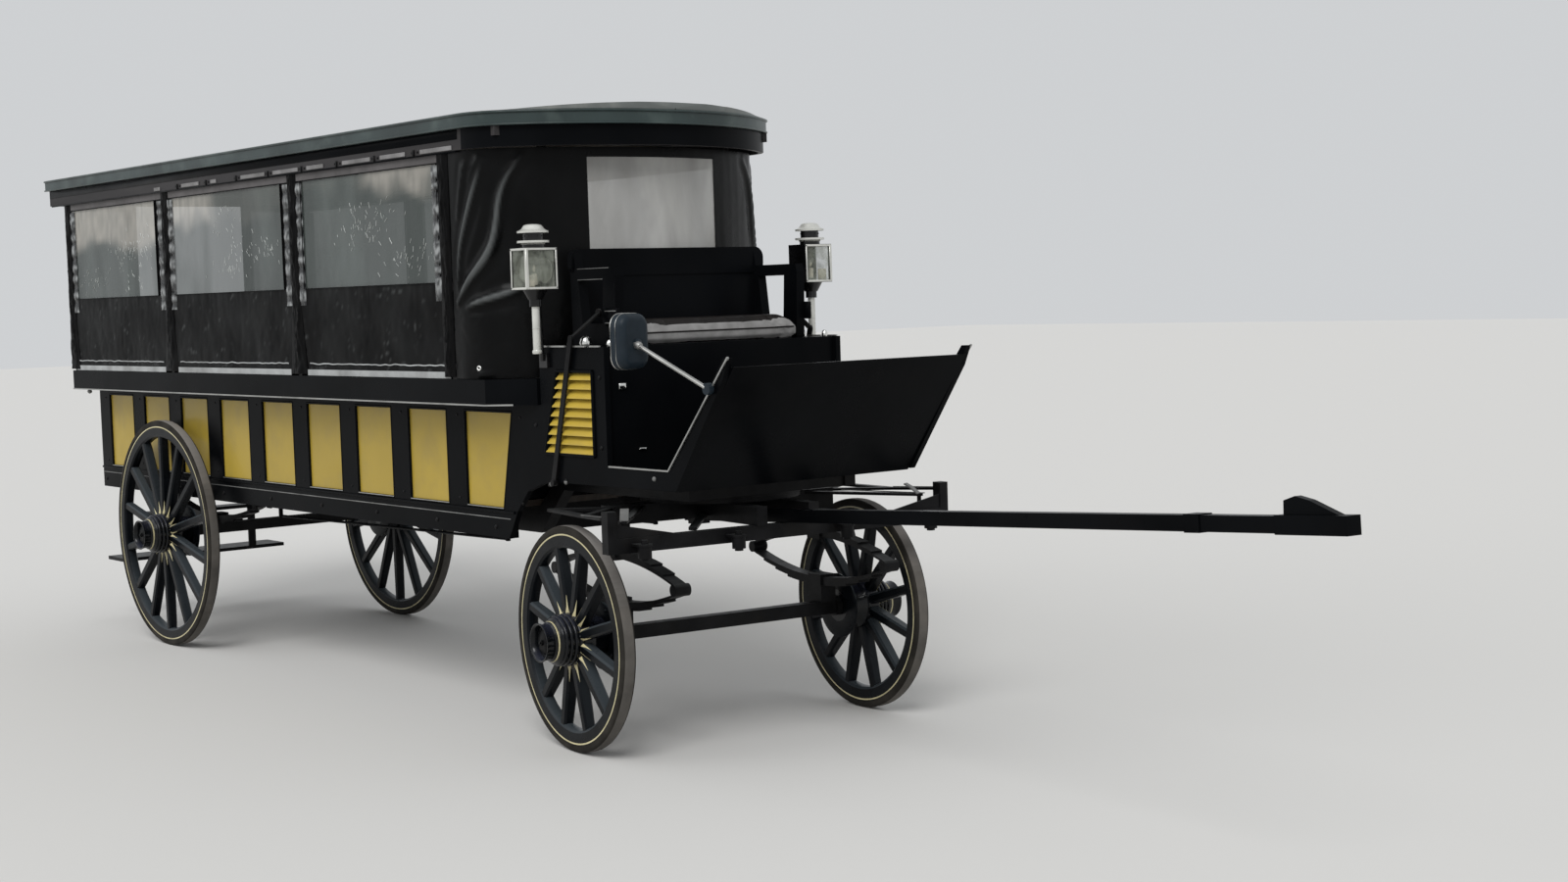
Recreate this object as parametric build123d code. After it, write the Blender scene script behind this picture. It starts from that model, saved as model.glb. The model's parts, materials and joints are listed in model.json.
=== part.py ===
from build123d import *
import math
import os

os.makedirs("parts", exist_ok=True)

# Millimetres, +X forward, +Y to the carriage's left, +Z up. While modelling,
# x = 0 is the rear axle and the ground lies at z = ground; at the end all is
# moved so that the length is centred on the origin and the wheels stand on z = 0.
ground = 36.0

# Wheels and axles
wheelbase = 3650.0
rear_wheel_radius = 550.0
front_wheel_radius = rear_wheel_radius - 141.0
rear_spoke_count = 14
front_spoke_count = 12
tyre_width = 55.0
tyre_thickness = 25.0
felloe_depth = 58.0
felloe_width = 50.0
hub_flange_radius = 96.0
hub_nose_radius = 71.0
hub_nose_reach = 145.0  # from the tyre's middle plane outwards
hub_inner_reach = 112.0  # from the tyre's middle plane inwards
hub_bore_radius = 25.0
bearing_clearance = 0.08
bearing_end_gap = 0.4  # between a hub's end and the axle's collar
hub_grooves = [28.0, 46.0, 64.0]  # from the tyre's middle plane
spoke_root_width = 40.0
spoke_tip_width = 36.0
spoke_chamfer = 0.32  # share of its section
disc_radius = hub_flange_radius + 29.0
disc_thickness = 8.0
axle_bar = 50.0
parked_turn = -5.9  # degrees, fore-carriage as it stands, seen from above

# Widths of the body
body_half_width = 550.0
wheel_track = 2 * body_half_width + 158.0  # between the middle planes of the tyres
ledge_half_width = body_half_width + 128.0
curtain_half_width = ledge_half_width - 4.0
roof_half_width = curtain_half_width + 26.0
seat_inner = 275.0  # half the gangway between the passenger benches
side_wall = 22.0
sill_width = 45.0
riser_thickness = 20.0
floor_thickness = 24.0
fit = 0.3

# Heights of the body
sill_bottom = ground + rear_wheel_radius + 174.0
sill_top = sill_bottom + 112.0
panel_top = sill_top + 373.0
ledge_bottom = panel_top + 30.0
ledge_top = ledge_bottom + 97.0
platform_bottom = sill_bottom + 232.0  # underside of the footwell's floor
platform_depth = 52.0
footwell_rim = platform_bottom + 72.0
boot_top = footwell_rim + 426.0
rim_bottom = ledge_top + 936.0

# Lengths of the body
body_rear = -980.0
body_front = wheelbase - 610.0  # where the wheel arch begins, at sill level
ledge_front = wheelbase - 360.0
boot_rear = wheelbase - 300.0
boot_front = wheelbase + 55.0
boot_wall = 20.0
footboard_front = wheelbase + 445.0
toe_rise = 390.0
toe_run = 350.0

# Side panels and louvres
panel_count = 9
panel_start = body_rear + 130.0
panel_pitch = (body_front + 151.0 - panel_start) / panel_count
panel_length = panel_pitch - 139.0
panel_thickness = 8.0
panel_recess = 8.0
panel_slant = 80.0  # how far the last panel's front edge leans
louvre_count = 9
louvre_bottom = footwell_rim + 34.0
louvre_top = boot_top - 88.0
louvre_front = boot_front - 57.0
louvre_rear_low = boot_rear - 25.0
louvre_rear_high = boot_rear + 68.0

# Canopy
roof_rear = body_rear - 220.0
roof_apex = wheelbase - 195.0
roof_corner_start = wheelbase - 620.0
roof_corner_radius = 250.0
rim_height = 54.0
rim_thickness = 24.0
roof_crown = 34.0
roof_skin = 14.0
frieze_height = 78.0
frieze_inset = 16.0
frieze_thickness = 18.0
bow_height = 36.0
bow_width = 30.0
post_size = 28.0
post_rear = body_rear + 20.0
post_front = wheelbase - 760.0
post_shares = [0.0, 0.3171, 0.6639, 1.0]  # of the way from the rear post to the front one
post_xs = [post_rear + share * (post_front - post_rear) for share in post_shares]
corner_post_y = 430.0
corner_post_inset = 150.0  # from the curtain's foremost point

# Curtains
curtain_rear = body_rear - 20.0
curtain_apex = wheelbase - 320.0
curtain_corner_start = wheelbase - 690.0
curtain_corner_radius = 230.0
curtain_thickness = 4.0
curtain_top = rim_bottom - frieze_height
curtain_gap = 29.0  # from a post's middle to the curtain's edge
pane_thickness = 2.0
window_top = curtain_top - 38.0
window_bottom = window_top - 452.0
window_margins = [(20.0, 115.0), (61.0, 106.0), (84.0, 70.0)]  # from the posts behind and ahead
window_spans = [
    (post_xs[i] + behind, post_xs[i + 1] - ahead)
    for i, (behind, ahead) in enumerate(window_margins)
]
front_window_half = 290.0
front_window_bottom = window_bottom + 60.0
rear_window_margin = 60.0

# Fore-carriage
spring_half_length = 455.0
spring_rise = 69.0
spring_width = 50.0
leaf_thickness = 8.0
front_leaf_count = 4
front_spring_y = wheel_track / 2 - 184.0
spring_seat = 66.0  # block between axle bar and spring
ring_radius = 300.0
ring_width = 42.0
ring_thickness = 14.0
ring_gap = 0.5
kingpin_radius = 19.0
splinter_ahead = front_wheel_radius + 22.0
splinter_half_length = wheel_track / 2 + 93.0
splinter_depth = 44.0
splinter_height = 51.0
splinter_post = 36.0  # width of the posts at its ends
splinter_post_height = 94.0
gusset_length = 246.0
gusset_height = 50.0
roller_radius = 24.0
roller_length = 40.0
roller_ahead = 44.0  # from the splinter bar's front
roller_inner_y = 230.0
roller_bracket = 8.0  # thickness of the plate it hangs from
roller_collar = 4.0  # how much wider the plate is
roller_cap_radius = 15.0
roller_nut_radius = 12.0
roller_nut_height = 14.0
roller_inset = 116.0  # of the outer rollers, from the bar's ends
futchell_height = 67.0
bolster_half_depth = 48.0
frame_rear = -330.0  # rear end of the futchells, from the kingpin
brace_inset = 90.0  # of the braces, from the splinter bar's ends
brace_iron_radius = 8.0
stay_iron_width = 30.0
stay_iron_depth = 10.0
wheel_stay_y = wheel_track / 2 + 30.0  # the stay over the wheel
futchell_y = 110.0
pole_length = 2660.0  # ahead of the splinter bar
pole_reach = splinter_ahead + pole_length
pole_size = 46.0
pole_rise = 163.0  # from where it rests on the splinter bar to its tip
pole_rear = -230.0
pole_head = 250.0  # length of the iron head
pole_iron = 6.0  # how much thicker its irons are than the pole
stirrup_x = -160.0  # iron that carries the pole's rear end

# Rear springs and underframe
beam_y = body_half_width - 190.0
beam_width = 50.0
cross_member = 50.0
cross_offset = 320.0  # of the members next to the rear axle
rear_spring_half_length = 500.0
rear_spring_rise = 75.0
rear_leaf_count = 5
rear_step_width = 920.0
rear_step_height = ground + 326.0
rear_step_depth = 210.0
rear_step_iron = 12.0

# Driver's bench
bench_half_width = body_half_width - 110.0
bench_back_x = boot_rear + 22.0
bench_back_top = boot_top + 356.0
bench_arm_top = boot_top + 282.0
bench_arm_front = boot_front - 55.0
arm_thickness = 38.0
arm_rail = 42.0

# Lamps
lamp_x = boot_rear + 90.0
lamp_y = body_half_width + 96.0
lamp_width = 132.0
lamp_depth = 106.0
lamp_bottom = boot_top + 210.0
lamp_glass_height = 150.0
lamp_foot_x = -95.0  # of the bracket's plate, from the lamp's axis
lamp_foot_drop = 50.0  # of the plate's middle, below the boot's top
lamp_plate = 52.0
lamp_rod_radius = 8.0

# Flat stays from the bench ends to the cheeks
stay_width = 26.0
stay_thickness = 6.0
stay_out = 11.0  # of the stay's middle, outside the cheek
stay_top_x = boot_front - 160.0
stay_top_rise = 120.0  # over the boot's top
stay_knee_x = boot_front - 175.0
stay_knee_rise = 30.0
stay_foot_x = boot_rear + 34.0

# Mirror on the right side of the toe board
mirror_x = footboard_front - 110.0
mirror_out = 65.0  # of its middle, outside the cheek
mirror_z = footwell_rim + 448.0
mirror_width = 140.0
mirror_height = 190.0
mirror_thickness = 60.0
mirror_corner = 44.0
mirror_foot_x = 250.0  # of its clamp, ahead of the footboard
mirror_foot_rise = 288.0  # of its clamp, over the footwell's rim

# Rear door
door_thickness = 22.0
door_bottom = sill_top + floor_thickness + 6.0
door_gap = 6.0
hinge_radius = 8.0
hinge_pin_radius = 4.0
hinge_half_height = 16.0
hinge_ear = 12.0
handle_drop = 72.0  # of the handle's middle, below the door's top


def block(x0, x1, y0, y1, z0, z1):
    """Box between two corners."""
    size = (x1 - x0, y1 - y0, z1 - z0)
    return Pos((x0 + x1) / 2, (y0 + y1) / 2, (z0 + z1) / 2) * Box(*size)


def side_profile(points, y0, y1):
    """Closed polygon in the XZ plane, extruded from y0 to y1."""
    face = make_face(Polyline(*points, close=True))
    return Pos(0, y1, 0) * extrude(Plane.XZ * face, y1 - y0)


def rod(start, end, radius):
    """Round bar between two points."""
    a, b = Vector(*start), Vector(*end)
    plane = Plane(origin=a, z_dir=(b - a))
    return extrude(plane * Circle(radius), (b - a).length)


def bar(start, end, width, depth):
    """Rectangular bar between two points, its width level."""
    a, b = Vector(*start), Vector(*end)
    run = b - a
    across = Vector(-run.Y, run.X, 0) if abs(run.X) + abs(run.Y) > 1 else Vector(1, 0, 0)
    plane = Plane(origin=a, x_dir=across, z_dir=run)
    return extrude(plane * Rectangle(width, depth), run.length)


def mirrored(solid):
    """The solid and its twin on the other side of the carriage."""
    return [solid, solid.mirror(Plane.XZ)]


def plan_outline(rear, half_width, corner_start, corner_radius, apex):
    """Plan of roof or curtains: straight sides, round corners and a bowed front."""
    centre_y = half_width - corner_radius
    ahead = apex - corner_start
    bow = ahead**2 + centre_y**2 - corner_radius**2
    bow = bow / (2 * (ahead - corner_radius))
    turn = math.atan2(centre_y, corner_start - (apex - bow))
    join = (apex - bow + bow * math.cos(turn), bow * math.sin(turn))
    half = math.radians(90) - (math.radians(90) - turn) / 2
    middle = (
        corner_start + corner_radius * math.cos(half),
        centre_y + corner_radius * math.sin(half),
    )
    edges = [
        Line((rear, -half_width), (corner_start, -half_width)),
        ThreePointArc((corner_start, -half_width), (middle[0], -middle[1]), (join[0], -join[1])),
        ThreePointArc((join[0], -join[1]), (apex, 0), join),
        ThreePointArc(join, middle, (corner_start, half_width)),
        Line((corner_start, half_width), (rear, half_width)),
        Line((rear, half_width), (rear, -half_width)),
    ]
    return make_face(edges)


def roof_plan(inset):
    return plan_outline(
        roof_rear + inset,
        roof_half_width - inset,
        roof_corner_start,
        roof_corner_radius - inset,
        roof_apex - inset,
    )


def curtain_plan(inset):
    return plan_outline(
        curtain_rear + inset,
        curtain_half_width - inset,
        curtain_corner_start,
        curtain_corner_radius - inset,
        curtain_apex - inset,
    )


def slab(face, z0, z1):
    return Pos(0, 0, z0) * extrude(face, z1 - z0)


# Wheels
def spoke(root, tip, root_width, tip_width, depth):
    """Flat-faced spoke along +Z with chamfered edges, tapering from root to tip."""
    def section(z, width, thick):
        w, t = width / 2, thick / 2
        c = spoke_chamfer * t
        points = [
            (w, -t + c), (w, t - c), (w - c, t), (-w + c, t),
            (-w, t - c), (-w, -t + c), (-w + c, -t), (w - c, -t),
        ]
        return Pos(0, 0, z) * make_face(Polyline(*points, close=True))
    ends = [section(root, root_width, depth), section(tip, tip_width, depth * 0.8)]
    return loft(Sketch() + ends)


def hub_profile():
    """Half section of the hub: (distance outwards from the tyre's plane, radius)."""
    inner, outer = -hub_inner_reach, hub_nose_reach
    flange, nose = hub_flange_radius, hub_nose_radius
    profile = [(inner, 0), (inner, nose - 8), (inner + 14, nose), (-44, flange - 10), (-34, flange)]
    radius = flange
    for start in hub_grooves:
        profile += [(start - 5, radius), (start - 2, radius - 5), (start + 2, radius - 5),
                    (start + 5, radius - 1)]
        radius -= 2
    profile += [
        (84, radius), (90, nose + 8), (92, nose + 2), (104, nose + 2), (108, nose - 6),
        (outer - 8, nose - 2), (outer, nose), (outer, nose - 8), (outer - 26, nose - 14),
        (outer - 26, 0),
    ]
    return profile


def wheel(radius, spoke_count):
    """Wooden wheel about the Y axis, nose towards -Y, and its tyre."""
    felloe_outer = radius - tyre_thickness
    felloe_inner = felloe_outer - felloe_depth
    ring = Circle(felloe_outer) - Circle(felloe_inner)
    body = extrude(Plane.XZ * ring, felloe_width / 2, both=True)
    profile = make_face(Polyline(*[(r, -y) for y, r in hub_profile()], close=True))
    hub = revolve(profile, Axis.Y)
    disc = Circle(disc_radius) - Circle(hub_nose_radius - 12)
    disc_y = hub_inner_reach - disc_thickness
    body += hub
    body += Pos(0, disc_y + disc_thickness, 0) * extrude(Plane.XZ * disc, disc_thickness)
    one = spoke(hub_flange_radius - 8, felloe_inner + 6, spoke_root_width, spoke_tip_width, felloe_width)
    for i in range(spoke_count):
        body += Rot(0, 360 / spoke_count * (i + 0.5), 0) * one
    bore_depth = hub_inner_reach + hub_nose_reach - 40
    body -= Pos(0, hub_inner_reach, 0) * extrude(Plane.XZ * Circle(hub_bore_radius), bore_depth)
    tyre = Circle(radius) - Circle(felloe_outer)
    tyre = extrude(Plane.XZ * tyre, tyre_width / 2, both=True)
    tyre = chamfer(tyre.edges().filter_by(GeomType.CIRCLE).group_by(SortBy.RADIUS)[-1], 6)
    return body, tyre


def at_fore_carriage(solid):
    """From fore-carriage coordinates, kingpin at the origin, to its parked place."""
    return Pos(wheelbase, 0, 0) * Rot(0, 0, parked_turn) * solid


def axle(half_length, radius):
    """Square axle bar with round journals that run into the hubs."""
    height = ground + radius
    inner = wheel_track / 2 - hub_inner_reach
    parts = block(-axle_bar / 2, axle_bar / 2, -inner + 6, inner - 6,
                  height - axle_bar / 2, height + axle_bar / 2)
    journal = hub_bore_radius - bearing_clearance
    reach = half_length + hub_nose_reach - 48
    parts += rod((0, -reach, height), (0, reach, height), journal)
    for side in (1, -1):
        y0 = side * (inner - 24)
        parts += rod((0, y0, height), (0, side * (inner - bearing_end_gap), height), journal + 12)
        parts += caliper(side, inner, height)
    return parts


def caliper(side, inner, height):
    """Brake caliper that reaches over the disc's rim, behind the axle."""
    gap = 5.0
    disc_low = inner
    far = disc_low + disc_thickness + gap
    x1 = -disc_radius + 34
    x0 = -disc_radius - 26
    arm = block(x0, -axle_bar / 2 + 4, inner - 38, inner - gap, height - 30, height + 30)
    bridge = block(x0, -disc_radius - gap, inner - 38, far + 16, height - 30, height + 30)
    pad = block(x0, x1, far, far + 16, height - 24, height + 24)
    shape = arm + bridge + pad
    if side < 0:
        shape = shape.mirror(Plane.XZ)
    return shape


def leaf_pack(half_length, rise, count, clamp_low):
    """Curved leaves stacked outwards about one centre, with end eyes and a clamp."""
    radius = (half_length**2 + rise**2) / (2 * rise)
    top = clamp_low + count * leaf_thickness
    centre_z = top + radius
    pack = None
    for layer in range(count):
        r0 = radius + layer * leaf_thickness
        share = math.asin(half_length / radius) * (1 - 0.19 * layer)
        ring = Circle(r0 + leaf_thickness) - Circle(r0)
        far = 3 * radius
        wedge = Polyline((0, 0), (far * math.sin(share), -far * math.cos(share)),
                         (-far * math.sin(share), -far * math.cos(share)), close=True)
        part = extrude(Plane.XZ * (ring & make_face(wedge)), spring_width / 2, both=True)
        pack = part if pack is None else pack + part
    pack = Pos(0, 0, centre_z) * pack
    clamp = block(-42, 42, -spring_width / 2 - 8, spring_width / 2 + 8, clamp_low, top + 10)
    return pack + clamp, top + rise


def front_spring():
    """Full elliptic spring on the front axle, its ends joined by bolts in eyes."""
    axle_top = ground + front_wheel_radius + axle_bar / 2
    low = axle_top + spring_seat
    lower, eye_z = leaf_pack(spring_half_length, spring_rise, front_leaf_count, low)
    eye_z += 10
    upper = lower.mirror(Plane.XY.offset(eye_z))
    spring = lower + upper
    for end in (1, -1):
        x = end * (spring_half_length - 4)
        spring += rod((x, -spring_width / 2 - 6, eye_z), (x, spring_width / 2 + 6, eye_z), 22)
    seat = block(-46, 46, -spring_width / 2 - 8, spring_width / 2 + 8, axle_top, low)
    return spring + seat, 2 * eye_z - low


front_spring_solid, front_spring_top = front_spring()
ring_low = platform_bottom - platform_depth - 2 * ring_thickness - ring_gap


def rear_spring():
    """Half elliptic spring between the rear axle and the beam's hangers."""
    low = ground + rear_wheel_radius + axle_bar / 2
    pack, eye_z = leaf_pack(rear_spring_half_length, rear_spring_rise, rear_leaf_count, low)
    eye_z += 6
    for end in (1, -1):
        x = end * (rear_spring_half_length - 4)
        pack += rod((x, -spring_width / 2 - 8, eye_z), (x, spring_width / 2 + 8, eye_z), 16)
    return pack, eye_z


def underframe():
    """Beams below the floor, raised platform over the fore-carriage, spring hangers."""
    beam_front = body_front - 30
    beam_z0, beam_z1 = sill_bottom + 6, sill_top
    low_z0 = platform_bottom - platform_depth
    frame = None
    for side in (1, -1):
        y0, y1 = side * beam_y - beam_width / 2, side * beam_y + beam_width / 2
        rail = block(body_rear + 30, beam_front, y0, y1, beam_z0, beam_z1)
        neck = side_profile(
            [(beam_front - 20, beam_z0), (beam_front, beam_z0), (beam_front + 170, low_z0),
             (wheelbase + 330, low_z0), (wheelbase + 330, platform_bottom),
             (beam_front + 130, platform_bottom), (beam_front, beam_z1),
             (beam_front - 20, beam_z1)], y0, y1)
        part = rail + neck
        for end in (1, -1):
            x = end * (rear_spring_half_length - 4)
            part += hanger(x, side * beam_y, beam_z0)
        frame = part if frame is None else frame + part
    last = beam_front - 40
    third = (last - cross_offset) / 3
    cross_xs = [body_rear + 55, -cross_offset, cross_offset, cross_offset + third,
                cross_offset + 2 * third, last]
    half = cross_member / 2
    for x in cross_xs:
        frame += block(x - half, x + half, -beam_y, beam_y, beam_z0, beam_z1)
    for x in (wheelbase - ring_radius + 25, wheelbase, wheelbase + ring_radius - 25):
        frame += block(x - 45, x + 45, -beam_y, beam_y, low_z0, platform_bottom)
    boss = rod((wheelbase, 0, low_z0), (wheelbase, 0, platform_bottom), 60)
    pin_hole = rod((wheelbase, 0, low_z0 - 1), (wheelbase, 0, platform_bottom + 1),
                   kingpin_radius + bearing_clearance)
    return frame + boss - pin_hole


def hanger(x, y, beam_low):
    """Two cheeks under a beam with the spring's eye between them."""
    _, eye_z = rear_spring()
    gap = spring_width / 2 + 8 + fit
    part = None
    for side in (1, -1):
        y0 = y + side * gap
        y1 = y + side * (gap + 8)
        cheek = block(x - 22, x + 22, min(y0, y1), max(y0, y1), eye_z - 24, beam_low + 4)
        part = cheek if part is None else part + cheek
    return part + block(x - 22, x + 22, y - gap - 8, y + gap + 8, beam_low - 8, beam_low + 4)


def turntable_upper():
    z1 = platform_bottom - platform_depth
    ring = Circle(ring_radius) - Circle(ring_radius - ring_width)
    return Pos(wheelbase, 0, z1 - ring_thickness) * extrude(ring, ring_thickness)


def side_frame(side):
    """Sill, stiles and cheek of one side in one board, with the panel openings cut."""
    arch = [(0, 0), (22, 30), (70, 110), (150, 190), (250, 222), (340, 232)]
    toe_slope = toe_run / toe_rise
    lower = [(body_front + dx, sill_bottom + dz) for dx, dz in arch]
    outline = [(body_rear, sill_bottom)] + lower + [
        (footboard_front + 35, platform_bottom + 6),
        (footboard_front + 35 + (toe_rise - 40) * toe_slope * 0.9, footwell_rim + toe_rise - 70),
        (footboard_front + toe_run, footwell_rim + toe_rise),
        (footboard_front + toe_run - 26, footwell_rim + toe_rise),
        (footboard_front, footwell_rim),
        (boot_front + 18, footwell_rim), (boot_front + 18, boot_top),
        (ledge_front + 10, boot_top), (ledge_front + 10, ledge_bottom),
        (body_rear, ledge_bottom),
    ]
    y0, y1 = body_half_width - side_wall, body_half_width
    board = side_profile(outline, y0, y1)
    board += block(body_rear + side_wall + fit, body_front - 2, body_half_width - sill_width, y1,
                   sill_bottom, sill_top - floor_thickness - fit)
    for i in range(panel_count):
        x0 = panel_start + i * panel_pitch
        board -= side_profile(panel_points(i, x0, 0), y0 - 1, y1 + 1)
    board -= side_profile(louvre_outline(0), y0 - 1, y1 + 1)
    return board if side > 0 else board.mirror(Plane.XZ)


def panel_points(i, x0, gap):
    """Outline of one side panel; the last one's front edge leans back to the arch."""
    x1 = x0 + panel_length - gap
    lean = panel_slant if i == panel_count - 1 else 0
    z0, z1 = sill_top + gap, panel_top - gap
    return [(x0 + gap, z0), (x1 - lean / 2, z0), (x1 + lean / 2, z1), (x0 + gap, z1)]


def side_panels():
    y1 = body_half_width - panel_recess
    panels = []
    for i in range(panel_count):
        x0 = panel_start + i * panel_pitch
        panels += mirrored(side_profile(panel_points(i, x0, fit), y1 - panel_thickness, y1))
    return Compound(panels)


def louvre_outline(gap):
    return [
        (louvre_rear_low + gap, louvre_bottom + gap), (louvre_front - gap, louvre_bottom + gap),
        (louvre_front - gap, louvre_top - gap), (louvre_rear_high + gap, louvre_top - gap),
    ]


def louvres():
    """Sloping slats, each let into the edges of its opening."""
    pitch = (louvre_top - louvre_bottom) / louvre_count
    low, high = body_half_width - side_wall + 2, body_half_width + 6
    trim = side_profile(louvre_outline(fit), low - 4, high + 4)
    slats = []
    for i in range(louvre_count):
        z = louvre_bottom + i * pitch
        section = Polyline((high, z + 3), (high, z + 8), (low, z + pitch + 3),
                           (low, z + pitch - 2.5), close=True)
        slat = extrude(Plane.YZ * make_face(section), 500)
        slats += mirrored(Pos(louvre_rear_low - 60, 0, 0) * slat & trim)
    return Compound(slats)


def floor_boards():
    """Passenger floor on the beams and between the sills."""
    half = body_half_width - side_wall - fit
    return block(body_rear + side_wall + fit, body_front - 34, -half, half,
                 sill_top, sill_top + floor_thickness)


def seat_boards():
    """Ledges that carry the benches, each with the riser down to the floor."""
    boards = []
    cut = 170.0
    plan = Polyline(
        (body_rear - 20, ledge_half_width), (ledge_front - cut, ledge_half_width),
        (ledge_front, body_half_width + 8), (ledge_front, seat_inner), (body_rear - 20, seat_inner),
        close=True,
    )
    board = slab(make_face(plan), ledge_bottom + fit, ledge_top)
    riser = block(body_rear + side_wall + 1, body_front - 30, seat_inner + 8,
                  seat_inner + 8 + riser_thickness, sill_top + floor_thickness + fit,
                  ledge_bottom + fit)
    boards += mirrored(board + riser)
    return Compound(boards)


def front_bulkhead():
    """Front wall of the passenger compartment and the deck behind the driver's bench."""
    half = body_half_width - side_wall - fit
    wall = side_profile(
        [(body_front - 22, sill_top + floor_thickness + 10),
         (body_front, sill_top + floor_thickness + 10),
         (body_front + 60, ledge_bottom), (body_front + 38, ledge_bottom)], -half, half)
    inner = seat_inner - fit
    deck = block(body_front + 38, ledge_front, -inner, inner, ledge_bottom, ledge_top)
    return wall + deck


def rear_wall():
    """Corner panels each side of the door, and the threshold below it."""
    half = body_half_width - side_wall - fit
    x0, x1 = body_rear, body_rear + side_wall
    wall = block(x0, x1, -half, half, sill_bottom, sill_top + floor_thickness)
    for side in (1, -1):
        y0, y1 = sorted((side * (seat_inner + door_gap), side * half))
        wall += block(x0, x1, y0, y1, sill_top, ledge_bottom)
    for z in hinge_heights():
        low, high = z - hinge_half_height - fit, z + hinge_half_height + fit
        for z0, z1 in ((low - hinge_ear, low), (high, high + hinge_ear)):
            wall += rod((hinge_x(), hinge_y(), z0), (hinge_x(), hinge_y(), z1), hinge_radius)
            wall += block(hinge_x(), body_rear, hinge_y() + 2, hinge_y() + 60, z0, z1)
        wall += block(body_rear - 6, body_rear + 1, hinge_y() + 12, hinge_y() + 60,
                      low - hinge_ear, high + hinge_ear)
        wall += rod((hinge_x(), hinge_y(), low - 1), (hinge_x(), hinge_y(), high + 1),
                    hinge_pin_radius)
    return wall


def rear_door():
    """Half-height door between the benches, hinged on its left edge."""
    half = seat_inner - door_gap
    x0 = body_rear - 20
    leaf_solid = block(x0, x0 + door_thickness, -half, half, door_bottom, ledge_top)
    leaf_solid -= block(x0 - 1, x0 + 6, -half + 60, half - 60, door_bottom + 60, ledge_top - 90)
    for z in hinge_heights():
        z0, z1 = z - hinge_half_height, z + hinge_half_height
        leaf_solid += block(x0 - 5, x0 + 1, half - 190, half + 3, z0, z1)
        leaf_solid += rod((hinge_x(), hinge_y(), z0), (hinge_x(), hinge_y(), z1), hinge_radius)
        leaf_solid -= rod((hinge_x(), hinge_y(), z0 - 1), (hinge_x(), hinge_y(), z1 + 1),
                          hinge_pin_radius + bearing_clearance)
    handle_z = ledge_top - handle_drop
    handle = rod((x0 - 34, -half + 60, handle_z), (x0 + 2, -half + 60, handle_z), 7)
    grip = bar((x0 - 34, -half + 60, handle_z), (x0 - 34, -half + 150, handle_z), 12, 12)
    return leaf_solid + handle + grip


def hinge_x():
    return body_rear - 20 - hinge_radius


def hinge_y():
    return seat_inner - door_gap + 3


def hinge_heights():
    return (door_bottom + 90, ledge_top - 130)


def roof_deck():
    """Crowned skin inside the rim, level with its top edge at the sides."""
    radius = (roof_half_width**2 + roof_crown**2) / (2 * roof_crown)
    top = rim_bottom + rim_height - 8 + roof_crown
    edge = roof_plan(rim_thickness + fit)
    skin = Circle(radius) - Circle(radius - roof_skin)
    length = roof_apex - roof_rear + 200
    shell = Pos(roof_rear - 100, 0, top - radius) * extrude(Plane.YZ * skin, length)
    return slab(edge, rim_bottom, top + 10) & shell


def roof_rim():
    ring = roof_plan(0) - roof_plan(rim_thickness)
    rim = slab(ring, rim_bottom, rim_bottom + rim_height)
    return rim


def canopy_frame():
    """Frieze board under the rim, roof bows and the posts they stand on."""
    band = roof_plan(frieze_inset) - roof_plan(frieze_inset + frieze_thickness)
    frame = slab(band, curtain_top, rim_bottom)
    low = rim_bottom - bow_height
    half_bow, half_post = bow_width / 2, post_size / 2
    reach = roof_half_width - frieze_inset - 4
    for x in post_xs:
        for side in (1, -1):
            y = side * (curtain_half_width - curtain_thickness - fit - half_post)
            frame += block(x - half_post, x + half_post, y - half_post, y + half_post, ledge_top,
                           rim_bottom)
        frame += block(x - half_bow, x + half_bow, -reach, reach, low, rim_bottom)
    x = curtain_apex - corner_post_inset
    for y in (-corner_post_y, corner_post_y):
        frame += block(x - half_post, x + half_post, y - half_post, y + half_post, ledge_top,
                       rim_bottom)
    frame += block(x - half_bow, x + half_bow, -reach + 40, reach - 40, low, rim_bottom)
    return frame


def right_side(x0, x1, z0, z1):
    """Box that takes in the right-hand side of the curtains between two stations."""
    return block(x0, x1, -roof_half_width, -curtain_half_width + curtain_thickness + 20, z0, z1)


def front_part(x0, half, z0, z1):
    """Box that takes in the front of the curtains, ahead of x0."""
    return block(x0, roof_apex, -half, half, z0, z1)


def curtain_band(inset, thickness, z0, z1):
    """Thin wall that follows the curtains' plan."""
    return slab(curtain_plan(inset) - curtain_plan(inset + thickness), z0, z1)


def side_curtains():
    """Three curtains a side between the posts, each with its window opening."""
    wall = curtain_band(0, curtain_thickness, ledge_top, curtain_top)
    sheets = []
    rear_edges = [curtain_rear + curtain_thickness + 1] + [x + curtain_gap for x in post_xs[1:-1]]
    front_edges = [x - curtain_gap for x in post_xs[1:]]
    for a, b, span in zip(rear_edges, front_edges, window_spans):
        sheet = wall & right_side(a, b, ledge_top, curtain_top)
        sheets += mirrored(sheet - right_side(*span, window_bottom, window_top))
    return Compound(sheets)


def front_curtain():
    """One curtain round both front corners, with a window behind the driver."""
    wall = curtain_band(0, curtain_thickness, ledge_top, curtain_top)
    start = post_xs[-1] - curtain_gap + 2
    wall &= front_part(start, roof_half_width, ledge_top, curtain_top)
    return wall - front_part(curtain_corner_start, front_window_half, front_window_bottom, window_top)


def rear_window(gap, z0, z1):
    """Box through the left-hand curtain beside the doorway, where its window is."""
    x0 = curtain_rear + gap
    x1 = curtain_rear + curtain_thickness - gap
    return block(x0, x1, seat_inner + 20 + rear_window_margin,
                 curtain_half_width - 8 - rear_window_margin, z0, z1)


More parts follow.
